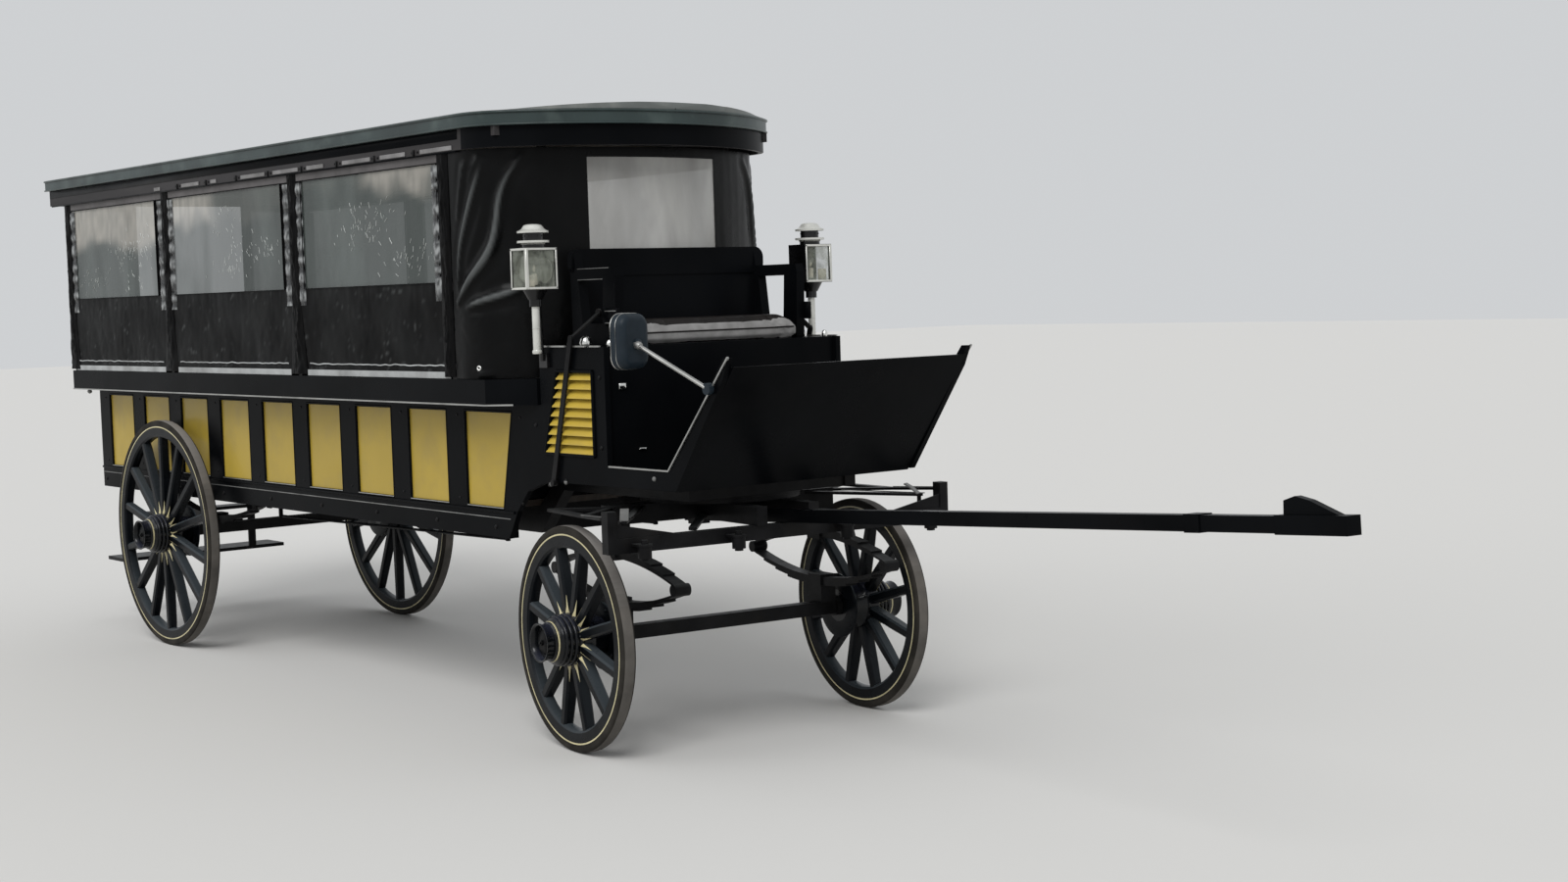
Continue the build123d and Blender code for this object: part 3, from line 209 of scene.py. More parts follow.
# Materials: key, name, colour, roughness, how much and how finely the colour varies, depth and
# fineness of the relief, colour and amount of dust, and what differs from mat_base's own values
M = {key: mat_base(*row, **more) for key, *row, more in (
    ("body_black", "coach_black", (0.0020, 0.0024, 0.0031), 0.3, 0.4, 1.6, 0.1, 30,
     (0.004, 0.004, 0.0043), 0.6, dict(spec=0.03)),
    ("frame_black", "iron_black", (0.0045, 0.0045, 0.005), 0.42, 0.5, 9, 0.35, 110,
     (0.020, 0.018, 0.016), 0.4, dict(spec=0.1)),
    # Pale colour for strips, bolt heads and a knob on the black ironwork and body
    ("iron_edge", "worn_edge", (0.15, 0.15, 0.145), 0.4, 0.4, 14, 0.3, 90,
     (0.03, 0.03, 0.03), 0.7, dict(spec=0.3)),
    ("panel_yellow", "panel_yellow", (0.385, 0.272, 0.036), 0.36, 0.08, 2.2, 0.1, 24,
     (0.26, 0.195, 0.06), 0.5, dict(coat=0.1, spec=0.25)),
    ("louvre_yellow", "louvre_yellow", (0.50, 0.355, 0.050), 0.36, 0.08, 9, 0.1, 24,
     (0.34, 0.25, 0.07), 0.5, dict(coat=0.1, spec=0.25)),
    ("floor_wood", "floor_boards", (0.03, 0.02, 0.013), 0.6, 0.4, 5, 0.5, 20,
     (0.05, 0.045, 0.038), 0.5, dict(stretch=(0.25, 6, 1))),
    ("roof_cover", "roof_canvas", (0.10, 0.11, 0.105), 0.62, 0.2, 2.0, 0.5, 420,
     (0.22, 0.22, 0.20), 0.6, dict(coat=0.1)),
    ("roof_edge", "roof_edge", (0.026, 0.040, 0.039), 0.34, 0.3, 3.0, 0.25, 18,
     (0.10, 0.13, 0.12), 0.6, dict(coat=0.05, spec=0.3)),
    ("frieze", "frieze_board", (0.030, 0.028, 0.029), 0.45, 0.3, 2.0, 0.2, 25,
     (0.06, 0.055, 0.052), 0.4, dict(stretch=(0.3, 1, 2), spec=0.1)),
    ("curtain_vinyl", "black_vinyl", (0.0024, 0.0024, 0.0026), 0.36, 0.4, 3.0, 0.3, 260,
     (0.0075, 0.0070, 0.0068), 0.6, dict(rough_vary=0.14, spec=0.035)),
    ("corner_vinyl", "corner_vinyl", (0.0016, 0.0017, 0.0018), 0.3, 0.4, 3.0, 0.25, 260,
     (0.004, 0.004, 0.004), 0.6, dict(spec=0.1)),
    ("valance", "valance", (0.095, 0.088, 0.088), 0.5, 0.2, 9, 0.4, 200,
     (0.05, 0.048, 0.046), 0.6, dict(spec=0.2)),
    ("rail", "curtain_rail", (0.19, 0.185, 0.185), 0.5, 0.3, 12, 0.3, 120,
     (0.10, 0.095, 0.09), 0.7, dict(spec=0.2)),
    ("hem", "grey_hem", (0.34, 0.35, 0.35), 0.5, 0.2, 9, 0.4, 200, (0.12, 0.12, 0.115), 0.6, {}),
    ("cushion", "dark_hide", (0.008, 0.0062, 0.0056), 0.48, 0.35, 6, 0.55, 190,
     (0.018, 0.015, 0.013), 0.4, dict(spec=0.15)),
    ("ceiling", "ceiling_boards", (0.13, 0.085, 0.042), 0.55, 0.3, 3, 0.3, 30,
     (0.08, 0.055, 0.03), 0.5, dict(stretch=(0.3, 5, 1))),
    ("lamp_black", "lamp_black", (0.004, 0.004, 0.0045), 0.22, 0.4, 9, 0.08, 60,
     (0.05, 0.045, 0.04), 0.12, dict(coat=0.2, spec=0.3)),
    ("bright_metal", "bright_metal", (0.82, 0.82, 0.79), 0.16, 0.08, 14, 0.1, 90,
     (0.30, 0.29, 0.27), 0.25, dict(metal=1.0)),
    ("trim", "pale_trim", (0.40, 0.40, 0.385), 0.33, 0.15, 12, 0.2, 70,
     (0.15, 0.15, 0.14), 0.6, dict(metal=0.85)),
    ("mirror_case", "mirror_case", (0.012, 0.019, 0.026), 0.42, 0.15, 20, 0.3, 300,
     (0.03, 0.03, 0.03), 0.15, dict(spec=0.15)),
    ("lamp_pale", "lamp_pale", (0.60, 0.60, 0.56), 0.3, 0.12, 14, 0.1, 90,
     (0.25, 0.245, 0.22), 0.5, dict(metal=0.3)),
    ("pad_front", "grey_cloth", (0.24, 0.235, 0.23), 0.7, 0.2, 20, 0.5, 400,
     (0.12, 0.115, 0.11), 0.5, dict(spec=0.2)),
    ("mirror_face", "mirror_face", (0.80, 0.82, 0.83), 0.05, 0.03, 8, 0.0, 60,
     (0.5, 0.5, 0.48), 0.2, dict(metal=1.0, rough_vary=0.03)),
    ("wheel_black", "wheel_black", (0.0024, 0.0034, 0.0048), 0.3, 0.4, 7, 0.18, 45,
     (0.010, 0.010, 0.0105), 0.4, dict(coat=0.02, spec=0.09)),
    ("hub_black", "hub_black", (0.0016, 0.0022, 0.0032), 0.2, 0.4, 7, 0.1, 45,
     (0.010, 0.0095, 0.009), 0.3, dict(coat=0.15, spec=0.2)),
    ("line", "cream_line", (0.56, 0.50, 0.29), 0.4, 0.18, 25, 0.1, 80,
     (0.2, 0.17, 0.09), 0.6, dict(coat=0.15)),
    ("tyre_rubber", "tyre_side", (0.022, 0.020, 0.017), 0.78, 0.3, 14, 0.7, 160,
     (0.042, 0.037, 0.031), 0.75, dict(spec=0.1)),
    ("tyre_tread", "tyre_tread", (0.088, 0.081, 0.073), 0.85, 0.25, 9, 0.8, 120,
     (0.15, 0.135, 0.118), 0.8, dict(spec=0.2)),
    ("puff", "crumpled_clear", (0.018, 0.019, 0.02), 0.25, 0.6, 30, 0.9, 60,
     (0.05, 0.052, 0.052), 0.8, dict(coat=0.1, dust_scale=24, spec=0.3)),
    ("scratch", "pale_scratch", (0.55, 0.57, 0.55), 0.5, 0.3, 20, 0.1, 60, None, 0, {}),
    ("murk", "lamp_murk", (0.22, 0.23, 0.19), 0.35, 0.6, 22, 0.2, 60,
     (0.50, 0.50, 0.43), 0.8, dict(dust_scale=16)),
    ("candle", "lamp_candle", (0.72, 0.68, 0.55), 0.45, 0.08, 30, 0.1, 60, None, 0, {}),
)}
M["clear_vinyl"] = glass("clear_vinyl", (0.056, 0.067, 0.062), 0.79, 0.95, 0.12, 2.2, (1, 1, 0.35), 0.5, 0.4)
M["front_vinyl"] = glass("front_vinyl", (0.58, 0.57, 0.54), 0.55, 0.88, 0.15, 2.2, (1, 1, 0.35), 0.5)
M["lamp_glass"] = glass("lamp_pane", (0.30, 0.32, 0.27), 0.08, 0.45, 0.05, 9.0, (1, 1, 1), 0.1)
# Painted sky sheen, with dust, on faces that look up: wheels, hubs, ironwork and tyre treads
paint_sheen_and_dust("wheel_black", (0.042, 0.050, 0.056), 0.15, 0.75)
paint_sheen_and_dust("hub_black", (0.020, 0.022, 0.034), 0.3, 1.0)
paint_sheen_and_dust("frame_black", (0.030, 0.031, 0.031), 0.5, 1.0)
paint_sheen_and_dust("tyre_tread", (0.23, 0.215, 0.20), 0.35, 0.95)
# Painted highlights on the corner folds, the bunched clear sheet and the cracks and bulges of the black
# curtains; the clear panes are paler along their upper edge
add_crest("corner_vinyl", (0.085, 0.090, 0.090))
add_crest("puff", (0.30, 0.31, 0.31))
add_crest("clear_vinyl", (0.36, 0.34, 0.30))
add_crest("curtain_vinyl", (0.040, 0.042, 0.042))


def shade(obj, key):
    obj.data.materials.clear()
    obj.data.materials.append(M[key])


# Mesh tools
def clamp(t):
    return max(0.0, min(1.0, t))


def ease(t):
    t = clamp(t)
    return t * t * (3 - 2 * t)


def wave(x, y, z):
    """Smooth noise from about -1 to 1."""
    return noise.noise(Vector((x, y, z)))


def grid_faces(rows, columns):
    """Quads over points that are listed row by row."""
    k = columns
    return [(i * k + j, (i + 1) * k + j, (i + 1) * k + j + 1, i * k + j + 1)
            for i in range(rows - 1) for j in range(k - 1)]


def ring_faces(n, k, closed=False):
    """Quads that join n rings of k points, with a cap on each end where the row isn't closed."""
    faces = [(i * k + j, i * k + (j + 1) % k, (i + 1) % n * k + (j + 1) % k, (i + 1) % n * k + j)
             for i in range(n if closed else n - 1) for j in range(k)]
    if not closed:
        faces += [tuple(range(k - 1, -1, -1)), tuple(range((n - 1) * k, n * k))]
    return faces


def flat(w, h):
    """Corners of a rectangle that reaches w and h millimetres from its middle."""
    return [(-w, -h), (w, -h), (w, h), (-w, h)]


def box_faces():
    """Faces of a chamfered box with three points at each corner, one on each of its faces."""
    def at(i, j, k, axis):
        return 3 * (4 * i + 2 * j + k) + axis

    faces = []
    for i in (0, 1):
        faces.append((at(i, 0, 0, 0), at(i, 1, 0, 0), at(i, 1, 1, 0), at(i, 0, 1, 0)))
        faces.append((at(0, i, 0, 1), at(1, i, 0, 1), at(1, i, 1, 1), at(0, i, 1, 1)))
        faces.append((at(0, 0, i, 2), at(1, 0, i, 2), at(1, 1, i, 2), at(0, 1, i, 2)))
        for j in (0, 1):
            faces.append((at(i, j, 0, 0), at(i, j, 1, 0), at(i, j, 1, 1), at(i, j, 0, 1)))
            faces.append((at(i, 0, j, 0), at(i, 1, j, 0), at(i, 1, j, 2), at(i, 0, j, 2)))
            faces.append((at(0, i, j, 1), at(1, i, j, 1), at(1, i, j, 2), at(0, i, j, 2)))
            faces += [(at(i, j, k, 0), at(i, j, k, 1), at(i, j, k, 2)) for k in (0, 1)]
    return faces


class Lot:
    """Collects faces for one mesh."""

    def __init__(self):
        self.v, self.f = [], []

    def add(self, verts, faces):
        k = len(self.v)
        self.v += [Vector(v) for v in verts]
        self.f += [tuple(i + k for i in f) for f in faces]

    def mirror(self):
        """Adds the same faces on the other side of the wagon's middle."""
        self.add([(v.x, -v.y, v.z) for v in self.v], [f[::-1] for f in self.f])

    def box(self, lo, hi, b):
        """Box between two corners in millimetres, its edges chamfered by b."""
        ends = [(min(a, c), max(a, c)) for a, c in zip(lo, hi)]
        b = min(b, *((high - low) / 2.2 for low, high in ends))
        pts = []
        for corner in product((0, 1), repeat=3):
            for axis in range(3):
                pts.append(P(*(ends[k][i] + (0 if k == axis else (1 - 2 * i) * b)
                               for k, i in enumerate(corner))))
        self.add(pts, box_faces())

    def lathe(self, profile, origin, axis, n=32):
        """Turns (distance along the axis, radius) pairs, in millimetres, about a line."""
        axis = Vector(axis).normalized()
        side = axis.cross(UP if abs(axis.z) < 0.9 else AHEAD).normalized()
        up = axis.cross(side)
        rings, pts = [], []
        for d, r in profile:
            turns = [2 * math.pi * i / n for i in range(n if r > 0 else 1)]
            rings.append([len(pts) + i for i in range(len(turns))])
            centre = origin + axis * d / 1000
            pts += [centre + (side * math.cos(a) + up * math.sin(a)) * r / 1000 for a in turns]
        pairs = list(zip(rings[:-1], rings[1:]))
        if len(rings[0]) > 1 and len(rings[-1]) > 1:
            pairs.append((rings[-1], rings[0]))
        faces = []
        for a, b in pairs:
            # a ring that is a single point on the axis gives triangles
            for i in range(max(len(a), len(b)) if len(a) + len(b) > 2 else 0):
                j = (i + 1) % n
                quad = (a[i % len(a)], b[i % len(b)], b[j % len(b)], a[j % len(a)])
                faces.append(tuple(dict.fromkeys(quad)))
        self.add(pts, faces)

    def sweep(self, path, section, closed=False, up=UP):
        """Carries a section of (across, up) millimetres along points in metres."""
        n = len(path)
        pts = []
        for i, p in enumerate(path):
            if closed:
                t = path[(i + 1) % n] - path[i - 1]
            else:
                t = path[min(i + 1, n - 1)] - path[max(i - 1, 0)]
            t.normalize()
            side = t.cross(up)
            if side.length < 1e-4:
                side = t.cross(AHEAD)
            side.normalize()
            v = side.cross(t)
            pts += [p + side * a / 1000 + v * b / 1000 for a, b in section]
        self.add(pts, ring_faces(n, len(section), closed))

    def tube(self, path, r, n=12, closed=False):
        turns = [2 * math.pi * i / n for i in range(n)]
        self.sweep(path, [(r * math.cos(a), r * math.sin(a)) for a in turns], closed)

    def bolt(self, at, axis, r, h):
        """Domed coach-bolt head."""
        self.lathe([(-1, 0), (-1, r), (h * 0.25, r), (h * 0.7, r * 0.75), (h, 0)], at, axis, 14)

    def nut(self, at, axis, r, h):
        self.lathe([(-1, 0), (-1, r), (h - 1, r), (h, r * 0.85), (h, 0)], at, axis, 6)
        self.lathe([(h - 1, 0), (h - 1, r * 0.5), (h + 4, r * 0.5), (h + 5, 0)], at, axis, 12)

    def make(self, name, key, replaces=(), angle=32, body="carriage", keep_normals=False):
        """Makes the piece: edges that turn by less than the angle in degrees are smooth."""
        mesh = bpy.data.meshes.new(name)
        mesh.from_pydata([tuple(v) for v in self.v], [], self.f)
        obj = bpy.data.objects.new(name, mesh)
        bpy.context.scene.collection.objects.link(obj)
        bm = bmesh.new()
        bm.from_mesh(mesh)
        if not keep_normals:
            bmesh.ops.recalc_face_normals(bm, faces=bm.faces)
        for face in bm.faces:
            face.smooth = True
        for e in bm.edges:
            e.smooth = len(e.link_faces) == 2 and e.calc_face_angle(0) < math.radians(angle)
        bm.to_mesh(mesh)
        bm.free()
        shade(obj, key)
        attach(obj, body)
        for n in replaces:
            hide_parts(n)
        return obj


# CAD nodes that keep their shape
def mark_sharp(mesh):
    """Marks sharp edges through an attribute, without touching the vertices."""
    mesh.update()
    normals = {}
    for p in mesh.polygons:
        for key in p.edge_keys:
            normals.setdefault(key, []).append(p.normal.copy())
    flags = []
    for e in mesh.edges:
        ns = normals.get(tuple(sorted(e.vertices)), [])
        flags.append(len(ns) != 2 or ns[0].angle(ns[1], 0) > math.radians(30))
    attr = mesh.attributes.get("sharp_edge") or mesh.attributes.new("sharp_edge", "BOOLEAN", "EDGE")
    attr.data.foreach_set("value", flags)


def dress(node, key, width):
    """Gives a CAD node a material and soft edges of a width in millimetres."""
    obj = nodes[node]
    obj.data.polygons.foreach_set("use_smooth", [True] * len(obj.data.polygons))
    mark_sharp(obj.data)
    shade(obj, key)
    if not width:
        return
    merge = obj.modifiers.new("flat", "DECIMATE")
    merge.decimate_type = "DISSOLVE"
    merge.angle_limit = math.radians(0.6)
    edge = obj.modifiers.new("edge", "BEVEL")
    edge.limit_method = "ANGLE"
    edge.angle_limit = math.radians(35)
    edge.width = width / 1000
    edge.segments = 2
    edge.harden_normals = True
    edge.use_clamp_overlap = True


DRESSED = {
    "frame_black": dict(underframe=3, turntable_upper=1.5, bench_irons=1.5, rear_axle=2, rear_springs=1,
                        rear_step=2, turntable_lower=1.5, forecarriage_frame=3, front_springs=1,
                        front_axle=2, splinter_bar=4),
    "body_black": dict(side_frames=3, seat_boards=5, front_bulkhead=2, rear_wall=2, rear_door=2,
                       driver_boot=3, driver_bench=6, pole=6),
    "floor_wood": dict(floor_boards=2),
    "panel_yellow": dict(side_panels=1.5),
    "louvre_yellow": dict(boot_louvres=1.5),
    "roof_edge": dict(roof_rim=7),
    "roof_cover": dict(roof_deck=0),
    "frieze": dict(canopy_frame=2),
    "mirror_case": dict(mirror=0),
    "lamp_black": dict(lamp_housings=1),
    "lamp_glass": dict(lamp_glass=0),
    "lamp_pale": dict(lamp_fittings=1),
}
for key, widths in DRESSED.items():
    for node, width in widths.items():
        dress(node, key, width)


# Wheels
HUB_Y = 629


class Wheel:
    """A spoked wheel, measured from its middle: r and an angle in its plane, w outwards."""

    def __init__(self, end, word, radius, count):
        side = 1 if word == "left" else -1
        front = end == "front"
        steer = PARKED if front else 0.0
        self.name, self.hub_name, self.cap_name, self.tyre_name = (
            f"{end}_{kind}_{word}" for kind in ("wheel", "hub", "hub_cap", "tyre"))
        self.origin = (F if front else P)(0, side * HUB_Y, radius)
        self.origin.z = radius / 1000
        self.out = Vector((-math.sin(steer), math.cos(steer), 0)) * side
        self.ahead = Vector((math.cos(steer), math.sin(steer), 0))
        self.radius, self.count = radius, count
        self.felloe_out, self.felloe_in = radius - 25, radius - 83
        self.lines = Lot()

    def at(self, r, a, w):
        return self.origin + (self.ahead * math.cos(a) + UP * math.sin(a)) * r / 1000 + self.out * w / 1000

    def turn(self, lot, profile, n=64):
        lot.lathe(profile, self.origin, self.out, n)

    def make(self, lot, name, key, replaces=(), angle=32):
        lot.make(name, key, replaces, angle, f"{self.name}_body")

    def felloe(self, lot):
        """Wooden ring: rounded corners inside, square against the tyre."""
        outer, inner = self.felloe_out, self.felloe_in
        half = [(outer, 25), (outer - 6, 25.0), (inner + 12, 24), (inner + 3, 18), (inner, 9)]
        section = [(outer, -25)] + half + [(r, -w) for r, w in half[:0:-1]]
        n = self.count * 8
        pts = [self.at(r, 2 * math.pi * i / n, w) for i in range(n) for r, w in section]
        lot.add(pts, ring_faces(n, len(section), closed=True))

    def spokes(self, lot):
        """Flat-faced spokes; cream paint on the front chamfers runs out along each."""
        inner = self.felloe_in
        # radius, half width, half depth, front chamfer, rear chamfer
        stations = [(86, 20, 25, 9, 8), (100, 20, 25, 8.5, 8), (116, 19.7, 24.6, 8, 8),
                    (158, 19.4, 24, 7.6, 7.6), (240, 19, 22.6, 7, 7), (inner - 30, 18.2, 21, 7, 7),
                    (inner + 6, 18, 20, 7, 7)]
        painted = (1.0, 1.0, 0.55, 0.04)
        for s in range(self.count):
            a = 2 * math.pi * (s + 0.5) / self.count
            across = UP * math.cos(a) - self.ahead * math.sin(a)
            pts = []
            for r, hw, hd, cf, cb in stations:
                for q, w in ((hw, cb - hd), (hw, hd - cf), (hw - cf, hd), (cf - hw, hd), (-hw, hd - cf),
                             (-hw, cb - hd), (cb - hw, -hd), (hw - cb, -hd)):
                    pts.append(self.at(r, a, w) + across * q / 1000)
            lot.add(pts, ring_faces(len(stations), 8))
            for sgn in (1, -1):
                pts = []
                for (r, hw, hd, cf, cb), share in zip(stations, painted):
                    edge = Vector((hw, hd - cf))
                    inside = edge.lerp(Vector((hw - cf, hd)), share)
                    for (q, w), lift in ((edge, 0.5), (inside, 0.5), (inside, -0.4), (edge, -0.4)):
                        pts.append(self.at(r, a, w + lift) + across * sgn * (q + lift) / 1000)
                self.lines.add(pts, ring_faces(len(painted), 4))

    def wood(self):
        lot = Lot()
        self.felloe(lot)
        self.spokes(lot)
        # brake disc on the inner side
        self.turn(lot, [(-112, 62), (-112, 123), (-111, 125), (-105, 125), (-104, 123), (-104, 62)])
        for i in range(7):
            lot.bolt(self.at(104, 2 * math.pi * (i + 0.25) / 7, -104), self.out, 6, 4)
        self.make(lot, f"{self.name}_wood", "wheel_black", [self.name], 30)

    def hub(self):
        """Three rounded ribs, a step, a flared open nose, and a cap inside its end."""
        hub, cap = Lot(), Lot()
        profile = [(-112, 25.4), (-112, 63), (-98, 71), (-46, 85), (-38, 94), (-34, 96), (22, 96), (25, 94)]
        for start, r in ((27, 91.5), (45, 89.5), (63, 87.5)):
            swelling = [(start + 17 * t / 8, r + 4.5 * math.sin(math.pi * t / 8) ** 0.7) for t in range(1, 8)]
            profile += [(start, r - 2)] + swelling + [(start + 17, r - 2)]
        profile += [(82, 86), (86, 85), (89, 81), (91, 74), (93, 72.5), (104, 72.5), (106, 69), (109, 65.5),
                    (113, 65), (128, 65.5), (137, 68.5), (142, 70.8), (144.5, 70.5), (145, 69), (144, 65),
                    (139, 61), (119, 57.5), (119, 26)]
        self.turn(hub, profile)
        for i in range(7):
            hub.nut(self.at(89, 2 * math.pi * (i + 0.25) / 7, 21), self.out, 6, 5)
        self.make(hub, self.hub_name, "hub_black", [self.name], 42)
        self.turn(cap, [(110, 0), (110, 44), (122, 44), (128, 37), (131, 18), (131, 0)], 32)
        cap.nut(self.at(0, 0, 131), self.out, 11, 7)
        self.make(cap, self.cap_name, "frame_black")

    def paint_lines(self):
        """Lines on both sides of the felloe and on the nose, with those of the spokes."""
        mid = self.felloe_out - 7
        for w, under in ((25.3, 24.8), (-25.3, -24.8)):
            self.turn(self.lines, [(under, mid - 3), (w, mid - 2.6), (w, mid + 2.6), (under, mid + 3)], 112)
        self.turn(self.lines, [(95, 72), (96, 73.6), (101, 73.6), (102, 72)])
        self.make(self.lines, f"{self.name}_lines", "line", angle=40)

    def tyre(self):
        """Rubber with darker sides and a worn tread; each half is mirrored across the wheel's plane."""
        radius, seat = self.radius, self.felloe_out
        side_half = [(-27, seat - 1), (-27.2, seat + 12), (-26, radius - 6), (-22, radius - 2.2),
                     (-18, radius - 1.2), (-18, radius - 8)]
        tread_half = [(-19, radius - 6), (-19, radius - 1.2), (-12, radius - 0.3), (-5, radius)]
        for half, part, key in ((side_half, "rubber", "tyre_rubber"), (tread_half, "tread", "tyre_tread")):
            lot = Lot()
            self.turn(lot, half + [(-w, r) for w, r in half[::-1]], 112)
            self.make(lot, f"{self.name}_{part}", key, [self.tyre_name], 40)


for word in ("left", "right"):
    for end, radius, count in (("rear", 550.0, 14), ("front", 409.0, 12)):
        wheel = Wheel(end, word, radius, count)
        wheel.wood()
        wheel.hub()
        wheel.paint_lines()
        wheel.tyre()


# Plans of roof and curtains
def outline(rear, hw, start, rad, apex, step=0.03):
    """Points from rear right, round the front, to rear left, in millimetres."""
    cy = hw - rad
    ahead = apex - start
    bow = (ahead ** 2 + cy ** 2 - rad ** 2) / (2 * (ahead - rad))
    turn = math.atan2(cy, start - (apex - bow))
    along, corner, front = max(2, int((start - rear) / 1000 / step)), 10, 20
    pts = [(rear + (start - rear) * i / along, -hw) for i in range(along + 1)]
    for i in range(1, corner + 1):
        a = -math.pi / 2 + (math.pi / 2 - turn) * i / corner
        pts.append((start + rad * math.cos(a), -cy + rad * math.sin(a)))
    for i in range(1, front // 2 + 1):
        a = -turn + 2 * turn * i / front
        pts.append((apex - bow + bow * math.cos(a), bow * math.sin(a)))
    return pts + [(x, -y) for x, y in pts[-2::-1]]


ROOF = dict(rear=-1200.0, hw=700.0, start=3030.0, rad=250.0, apex=3455.0)
CURTAIN = dict(rear=-1000.0, hw=674.0, start=2960.0, rad=230.0, apex=3330.0)


def inset(plan, d):
    return dict(rear=plan["rear"] + d, hw=plan["hw"] - d, start=plan["start"], rad=plan["rad"] - d,
                apex=plan["apex"] - d)


# Roof
def roof_canvas():
    """Painted canvas drawn over the crowned boards and tacked down at the rim."""
    rim_top, crown, tacked = 2362.0, 34.0, 14
    radius = (700 ** 2 + crown ** 2) / (2 * crown)
    top = rim_top - 8 + crown
    low = rim_top + 1.2
    right = [p for p in outline(**inset(ROOF, 3)) if p[1] <= 0]

    def half_at(x):
        for (xa, ya), (xb, yb) in zip(right[:-1], right[1:]):
            if xa <= x <= xb and xb > xa:
                return -(ya + (yb - ya) * (x - xa) / (xb - xa))
        return 0.0 if x > right[-1][0] else 697.0

    stations = list(range(-1197, 3030, 45))
    stations += [3030 + (3451.9 - 3030) * math.sin(math.pi / 2 * i / 22) for i in range(23)]
    across = 40
    pts = []
    for x in stations:
        hw = max(half_at(x), 2.0)
        for j in range(across + 1):
            y = -hw + 2 * hw * j / across
            z = top - (radius - math.sqrt(radius ** 2 - y * y)) + 2.2
            ripple = 0.9 * wave(x / 160, y / 160, 0.3)
            seam = 1.4 * math.exp(-((x + 1197) % 930 - 465) ** 2 / 60)
            edge = min(1.0, (hw - abs(y)) / tacked, (3455 - x) / tacked + 0.02)
            z = z + ripple + seam if edge >= 1 else max(low, z * edge + low * (1 - edge))
            pts.append(P(x, y, z))
    lot = Lot()
    lot.add(pts, grid_faces(len(stations), across + 1))
    lot.make("roof_canvas", "roof_cover", ["roof_deck"], 50)


def roof_beads():
    """Half-round batten and bead that hold the canvas along its edge."""
    bead = Lot()
    for z, r, out in ((2357.0, 5.0, 1.5), (2311.0, 4.0, 1.5)):
        bead.tube([P(x, y, z) for x, y in outline(**inset(ROOF, -out), step=0.08)], r, 8)
    bead.make("roof_beads", "roof_edge", angle=60)


def ceiling():
    """Boards between the frieze boards, on the bows."""
    lot, pitch = Lot(), 131
    for i in range(10):
        y = -655 + pitch * i
        lot.box((-1170, y, 2308.6), (2990, y + pitch - 2, 2313), 1.5)
    lot.make("ceiling_boards", "ceiling")


def frieze_trim():
    """Pale rail segments with dark hooks between them, and black strips of painted shadow over the frieze's
    upper half and in a line under the frieze.
    """
    rail, hooks, band = Lot(), Lot(), Lot()
    pitch, end = 318, 2985
    for i, length in enumerate((70, 190, 60, 236, 236, 150, 236, 200, 236)):
        x = 180 + pitch * i
        rail.box((x, 684.2, 2233), (min(x + length, end), 688, 2250), 1.5)
        if x + 300 < end:
            hooks.box((x + 262, 684, 2229), (x + 274, 690, 2253), 1.5)
            for along in (253, 296):
                hooks.bolt(P(x + along, 684, 2242), LEFT, 5, 5)
    # Painted shadow: a black strip over the frieze's upper half under the roof rim, and a black line under
    # the frieze
    band.box((-1180, 684.2, 2270), (3000, 686, 2307), 0.5)
    band.box((-1160, 677, 2224), (end, 686, 2230), 0.5)
    for lot in (rail, hooks, band):
        lot.mirror()
    # The painted shadow strip carries on round the front
    front = [(x, y) for x, y in outline(**inset(ROOF, 15), step=0.08) if x > 2990]
    band.sweep([P(x, y, 2269) for x, y in front], flat(1, 38))
    rail.make("curtain_rail", "rail")
    hooks.make("rail_hooks", "frame_black", angle=50)
    band.make("frieze_painted_shadow", "body_black", angle=50)


roof_canvas()
roof_beads()
ceiling()
frieze_trim()


# Curtains
WINDOWS = ((-940, 146), (322, 1490), (1680, 2820))
SPANS = ((-995, 232), (290, 1567), (1625, 2861))
WIN_LOW, WIN_HIGH, CURTAIN_LOW, CURTAIN_TOP = 1740, 2192, 1374, 2230
FRONT_WIN_LOW = 1795


def folds(x, z, seed, strength=1.0):
    """How far a hanging sheet stands proud, in millimetres."""
    drop = 1 - (z - CURTAIN_LOW) / (CURTAIN_TOP - CURTAIN_LOW)
    a = wave(x / 210 + seed, z / 900, seed)
    b = wave(x / 70 + z / 260, z / 300, seed + 3)
    c = wave(x / 26, z / 60, seed + 7)
    under = math.exp(-max(0.0, WIN_LOW - z) / 80) if z < WIN_LOW else 0.0
    gather = wave(x / 30, z / 120, seed + 11)
    crease = abs(wave(x / 95 + z / 120, z / 75 - x / 160, seed + 17))
    sharp = max(0.0, 0.12 - crease) / 0.12 * drop
    return strength * ((3.5 * a + 1.6 * b) * (0.35 + drop) + 0.4 * c + 2.2 * gather * under - 1.8 * sharp)


def loose(z):
    """Share of its folds that a sheet keeps at a height: none where it is nailed at the top."""
    return min(1.0, (CURTAIN_TOP - z) / 60)


def steps(stops, size):
    """Grid lines that pass through every stop, no further apart than size."""
    out = []
    for a, b in zip(stops[:-1], stops[1:]):
        n = max(1, math.ceil((b - a) / size))
        out += [a + (b - a) * i / n for i in range(n)]
    return out + [stops[-1]]


def keep_crest(obj, values):
    """Writes the attribute that add_crest reads, a value from 0 to 1 for each vertex."""
    obj.data.attributes.new("crest", "FLOAT", "POINT").data.foreach_set("value", values)


